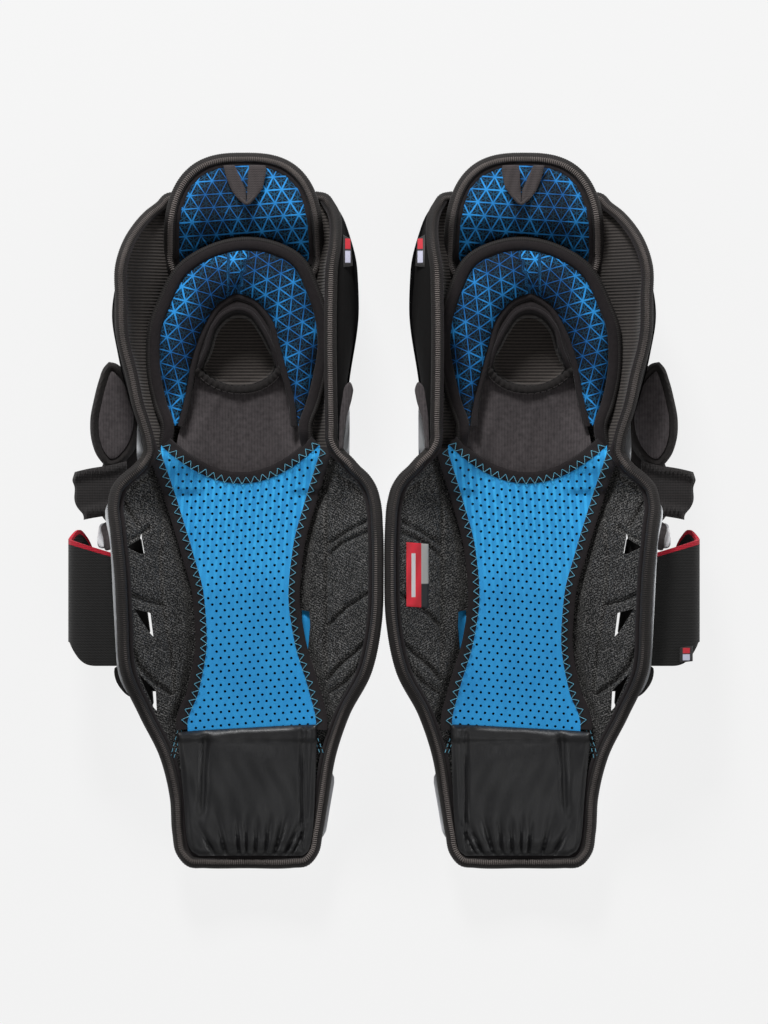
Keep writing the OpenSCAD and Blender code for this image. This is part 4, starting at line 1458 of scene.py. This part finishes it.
def outer_flap():
    shape = smooth_loop(LEAF, 1.5)

    def base(x):
        return 47 - (x + 83) * 0.25 - np.maximum(0, x + 83) * 0.4

    def top(x, y, away):
        border = 1.6 * notch(away, 2.9, 2.0) - 1.1 * notch(away, 6.0, 0.9)
        swell = 1.2 * ease((away - 6.2) / 8)
        return base(x) + 4.2 + border + swell - drop(away, 2.6, 2.4)

    def bottom(x, y, away):
        return base(x) + drop(away, 1.6, 2.4)
    leaf = plate(shape, [], 1.6, top, bottom)
    pair("outer_flap", leaf, "calf_flap", "flap_fabric", ["outer_flap"], fill=0.7)
    field = plate(shrink(shape, 6.2), [], 2.0,
                  lambda x, y, away: base(x) + 5.6 + 0.5 * ease(away / 4) - drop(away, 0.7, 1.2),
                  lambda x, y, away: base(x) + 4.4)
    pair("flap_field", field, "calf_flap", "jersey")


def inner_flap():
    shape = smooth_loop([[68, 302], [69.6, 302], [71, 311], [73.4, 325], [77.2, 339], [77.9, 345.5],
                         [75.4, 350], [72.6, 347.6], [70.3, 338], [68.8, 328], [68.2, 315]], 1.2)
    flap = plate(shape, [], 1.2, lambda x, y, away: 82 - (x - 67) * 0.5 - drop(away, 1.3, 1.5),
                 lambda x, y, away: 79 - (x - 67) * 0.5 + drop(away, 0.7, 1.5))
    pair("inner_flap", flap, "knee_flap", "jersey", ["inner_flap"], fill=0.5)


def upper_strap():
    """Short elastic strap that runs down and outwards: a ribbed band between two gathered hems."""
    ys = span(0, 36, 0.8)
    share = np.linspace(0, 1, 56)
    hem = np.maximum(notch(ys, 4.2, 3.4), notch(ys, 32.6, 3.0))
    left = -121.5 - 2.6 * notch(ys, 31, 5) - 1.4 * notch(ys, 17, 8) + 5.5 * notch(ys, 1, 8)
    grid = np.zeros((len(ys), len(share), 3))
    for i, y in enumerate(ys):
        x = mix(left[i], -85, share)
        slope = 0.20 * (x + 103) + 0.9 * np.sin(x * 0.21) * hem[i]
        gathers = hem[i] * (0.75 * np.sin(x * 2.1 + y * 0.4) + 0.35 * np.sin(x * 3.3 - y))
        puff = (3.0 * hem[i] ** 0.7 + 0.8 * notch(y, 18, 9) + gathers) * ease(share / 0.08)
        grid[i] = np.column_stack([x, 253.8 + y + slope, 55.0 + puff - 1.6 * (1 - ease(share / 0.05))])
    plan = np.vstack([grid.reshape(-1, 3)] * 2)
    points, faces = slab(grid, np.dstack([grid[..., :2], np.full(grid.shape[:2], 53.2)]))
    pair("upper_strap", (points, faces, plan), "stub", "jersey", ["upper_strap"], look="gathered_elastic")


def flap_folds():
    """Crumpled fabric between the leaf flap, the upper strap and the wing."""
    loop = smooth_loop([[-100, 300], [-84, 306], [-72, 318], [-69, 300], [-78, 286], [-92, 274], [-96, 262],
                        [-100, 250], [-108, 262], [-106, 284]], 2.0)

    def low(x):
        return 41 - 0.62 * np.maximum(0, -86 - x)

    def top(x, y, away):
        folds = 2.2 * np.abs(np.sin((x * 0.55 + y * 0.8) * 0.16)) + 0.8 * np.sin(x * 0.5 - y * 0.3)
        return low(x) + 2 + folds * ease(away / 4) - drop(away, 1.5, 2)
    pair("flap_folds", plate(loop, [], 1.8, top, lambda x, y, away: low(x)), "guard", "flap_fabric")


GORE = [[-92, 232], [-100.5, 229.5], [-102, 238], [-103.4, 247], [-96, 251], [-90, 243]]
LINK = [[-96, 231], [-105.4, 231.5], [-106, 242], [-104, 248.5], [-99.5, 249], [-96.5, 243]]


def side_pieces():
    """The fabric gore and the end of a white link that show behind the upper strap."""
    pieces = (("side_gore", GORE, 52, "jersey"), ("side_link", LINK, 48, "shell_white"))
    for name, shape, height, slot in pieces:
        def top(x, y, away):
            return height - drop(away, 1.0, 1.2) + 0.1 * np.sin(x * 0.8 + y * 0.5)
        piece = plate(smooth_loop(shape, 1.2), [], 1.2, top, lambda x, y, away: height - 2.4)
        pair(name, piece, "guard", slot)


# The calf strap seen from its end, as x and z: out behind, round the bend and back in front.
STRAP_LINE = [[-73.5, 42], [-90, 40], [-108, 37], [-119, 38.5], [-125, 44], [-126, 52], [-123, 60],
              [-115, 64.2], [-104, 65], [-96, 64.6], [-89.2, 63.6]]


def strap_faces(low, high, cols):
    path = smooth_path(STRAP_LINE, 1.6)
    run = lengths(path) / lengths(path)[-1]
    share = np.linspace(0, 1, cols)
    y = np.array([mix(low(p[0], r), high(p[0], r), share) for p, r in zip(path, run)])
    faces = []
    for offset in (-1.2, 1.2):
        moved = path + left_of(path) * offset
        x, z = (np.repeat(moved[:, k:k + 1], cols, axis=1) for k in (0, 1))
        faces.append(np.dstack([x, y, z]))
    points, quads = slab(*faces)
    plan = np.zeros_like(points)
    plan[:, 0] = np.tile(np.repeat(run * 110, cols), 2)
    plan[:, 1] = np.tile(y.ravel(), 2)
    return points, quads, plan


def strap_high(x, run):
    """Upper edge: the run behind rises towards the bend, so that it shows above the run in front."""
    curl = 9 * notch(run, 0.44, 0.07)
    behind = -12 * ease((0.38 - run) / 0.08)
    return 237 - (x + 126) * 0.30 + curl + behind


def strap_low(x, run):
    return 146.6 + 17 * np.clip((-x - 105) / 20, 0, 1) ** 3


def calf_strap():
    wide = strap_faces(strap_low, lambda x, run: strap_high(x, run) - 3.0, 24)
    pair("calf_strap", wide, "strap", "strap_elastic", ["calf_strap"])
    trim = strap_faces(lambda x, run: strap_high(x, run) - 3.2, strap_high, 5)
    pair("strap_trim", trim, "strap", "strap_red", ["strap_trim"])


def hook_tab():
    def bottom(x, y, away):
        hooks = 0.35 * np.sin(x * 5) * np.sin(y * 5) * ease(away)
        return 60.3 + (x + 112) * 0.12 + hooks
    loop = superellipse((-107.5, 185), (4.5, 30), 0.3, 44)
    tab = plate(loop, [], 1.0, lambda x, y, away: 61.9 + (x + 112) * 0.12 - drop(away, 0.4, 1), bottom)
    pair("hook_tab", tab, "strap", "hook_plastic", ["hook_tab"])


def strap_root():
    """Rounded dark tab under the wing, just below the calf strap."""
    def base(x, y):
        return shell_z(np.maximum(x, -80), y)
    loop = smooth_loop([[-76, 145.4], [-84, 145.8], [-93.5, 145.4], [-93.6, 138], [-89.6, 130],
                        [-83.6, 124.4], [-78.5, 123], [-76, 133]], 1.5)
    flap = plate(loop, [], 2.6, lambda x, y, away: base(x, y) - 2.2 - drop(away, 1.4, 2.5),
                 lambda x, y, away: base(x, y) - 5.4 + drop(away, 1.2, 2.5))
    pair("strap_root", flap, "guard", "foam_fabric")


# ---------------------------------------------------------------- tags

def tag(corners, height):
    """Small woven tag; its plan runs 0 to 1 along x and y so that the bars on it fit."""
    shape = np.array(corners, float)
    points, faces = plate(shape, [], 1.0, lambda x, y, away: height(x, y) + TAG_WALL - drop(away, 0.3, 0.6),
                          lambda x, y, away: height(x, y))
    low, high = shape.min(axis=0), shape.max(axis=0)
    plan = points.copy()
    plan[:, :2] = (points[:, :2] - low) / (high - low)
    return points, faces, plan


def tags():
    def knee_side(x, y):
        return ridge_height(y) - 0.62 * (np.abs(x) - ridge(x, y)) - 0.4
    side = tag([[71.0, 432], [77.6, 433], [76.0, 453], [70.6, 456]], knee_side)
    pair("side_tag", side, "guard", "woven_tag", ["side_tag"], look="small_tag")
    wing_label = tag([[68, 188], [84, 189.5], [84, 235.5], [68, 234]], lambda x, y: liner_z(x, y) + 0.6)
    pair("wing_tag", wing_label, "guard", "woven_tag", ["wing_tag"], sides=("r",))
    strap_label = tag([[-121.5, 150], [-112, 149], [-112, 160], [-121.5, 161]],
                      lambda x, y: 66.6 + (x + 112) * 0.35)
    pair("strap_label", strap_label, "strap", "woven_tag", sides=("r",), look="small_tag")


for build in (shin_shell, knee_shell, shell_links, strap_anchor, shell_rivets, shin_foam, wings,
              suspension_panel, panel_binding, stitching, ankle_pocket, guard_binding, knee_foam, knee_sides,
              knee_ring, ring_binding, knee_lining, mesh_tongue, thigh_binding, thigh_pad, thigh_liner,
              pull_loop, outer_flap, inner_flap, upper_strap, calf_strap, hook_tab, strap_root, flap_folds,
              side_pieces, tags):
    build()
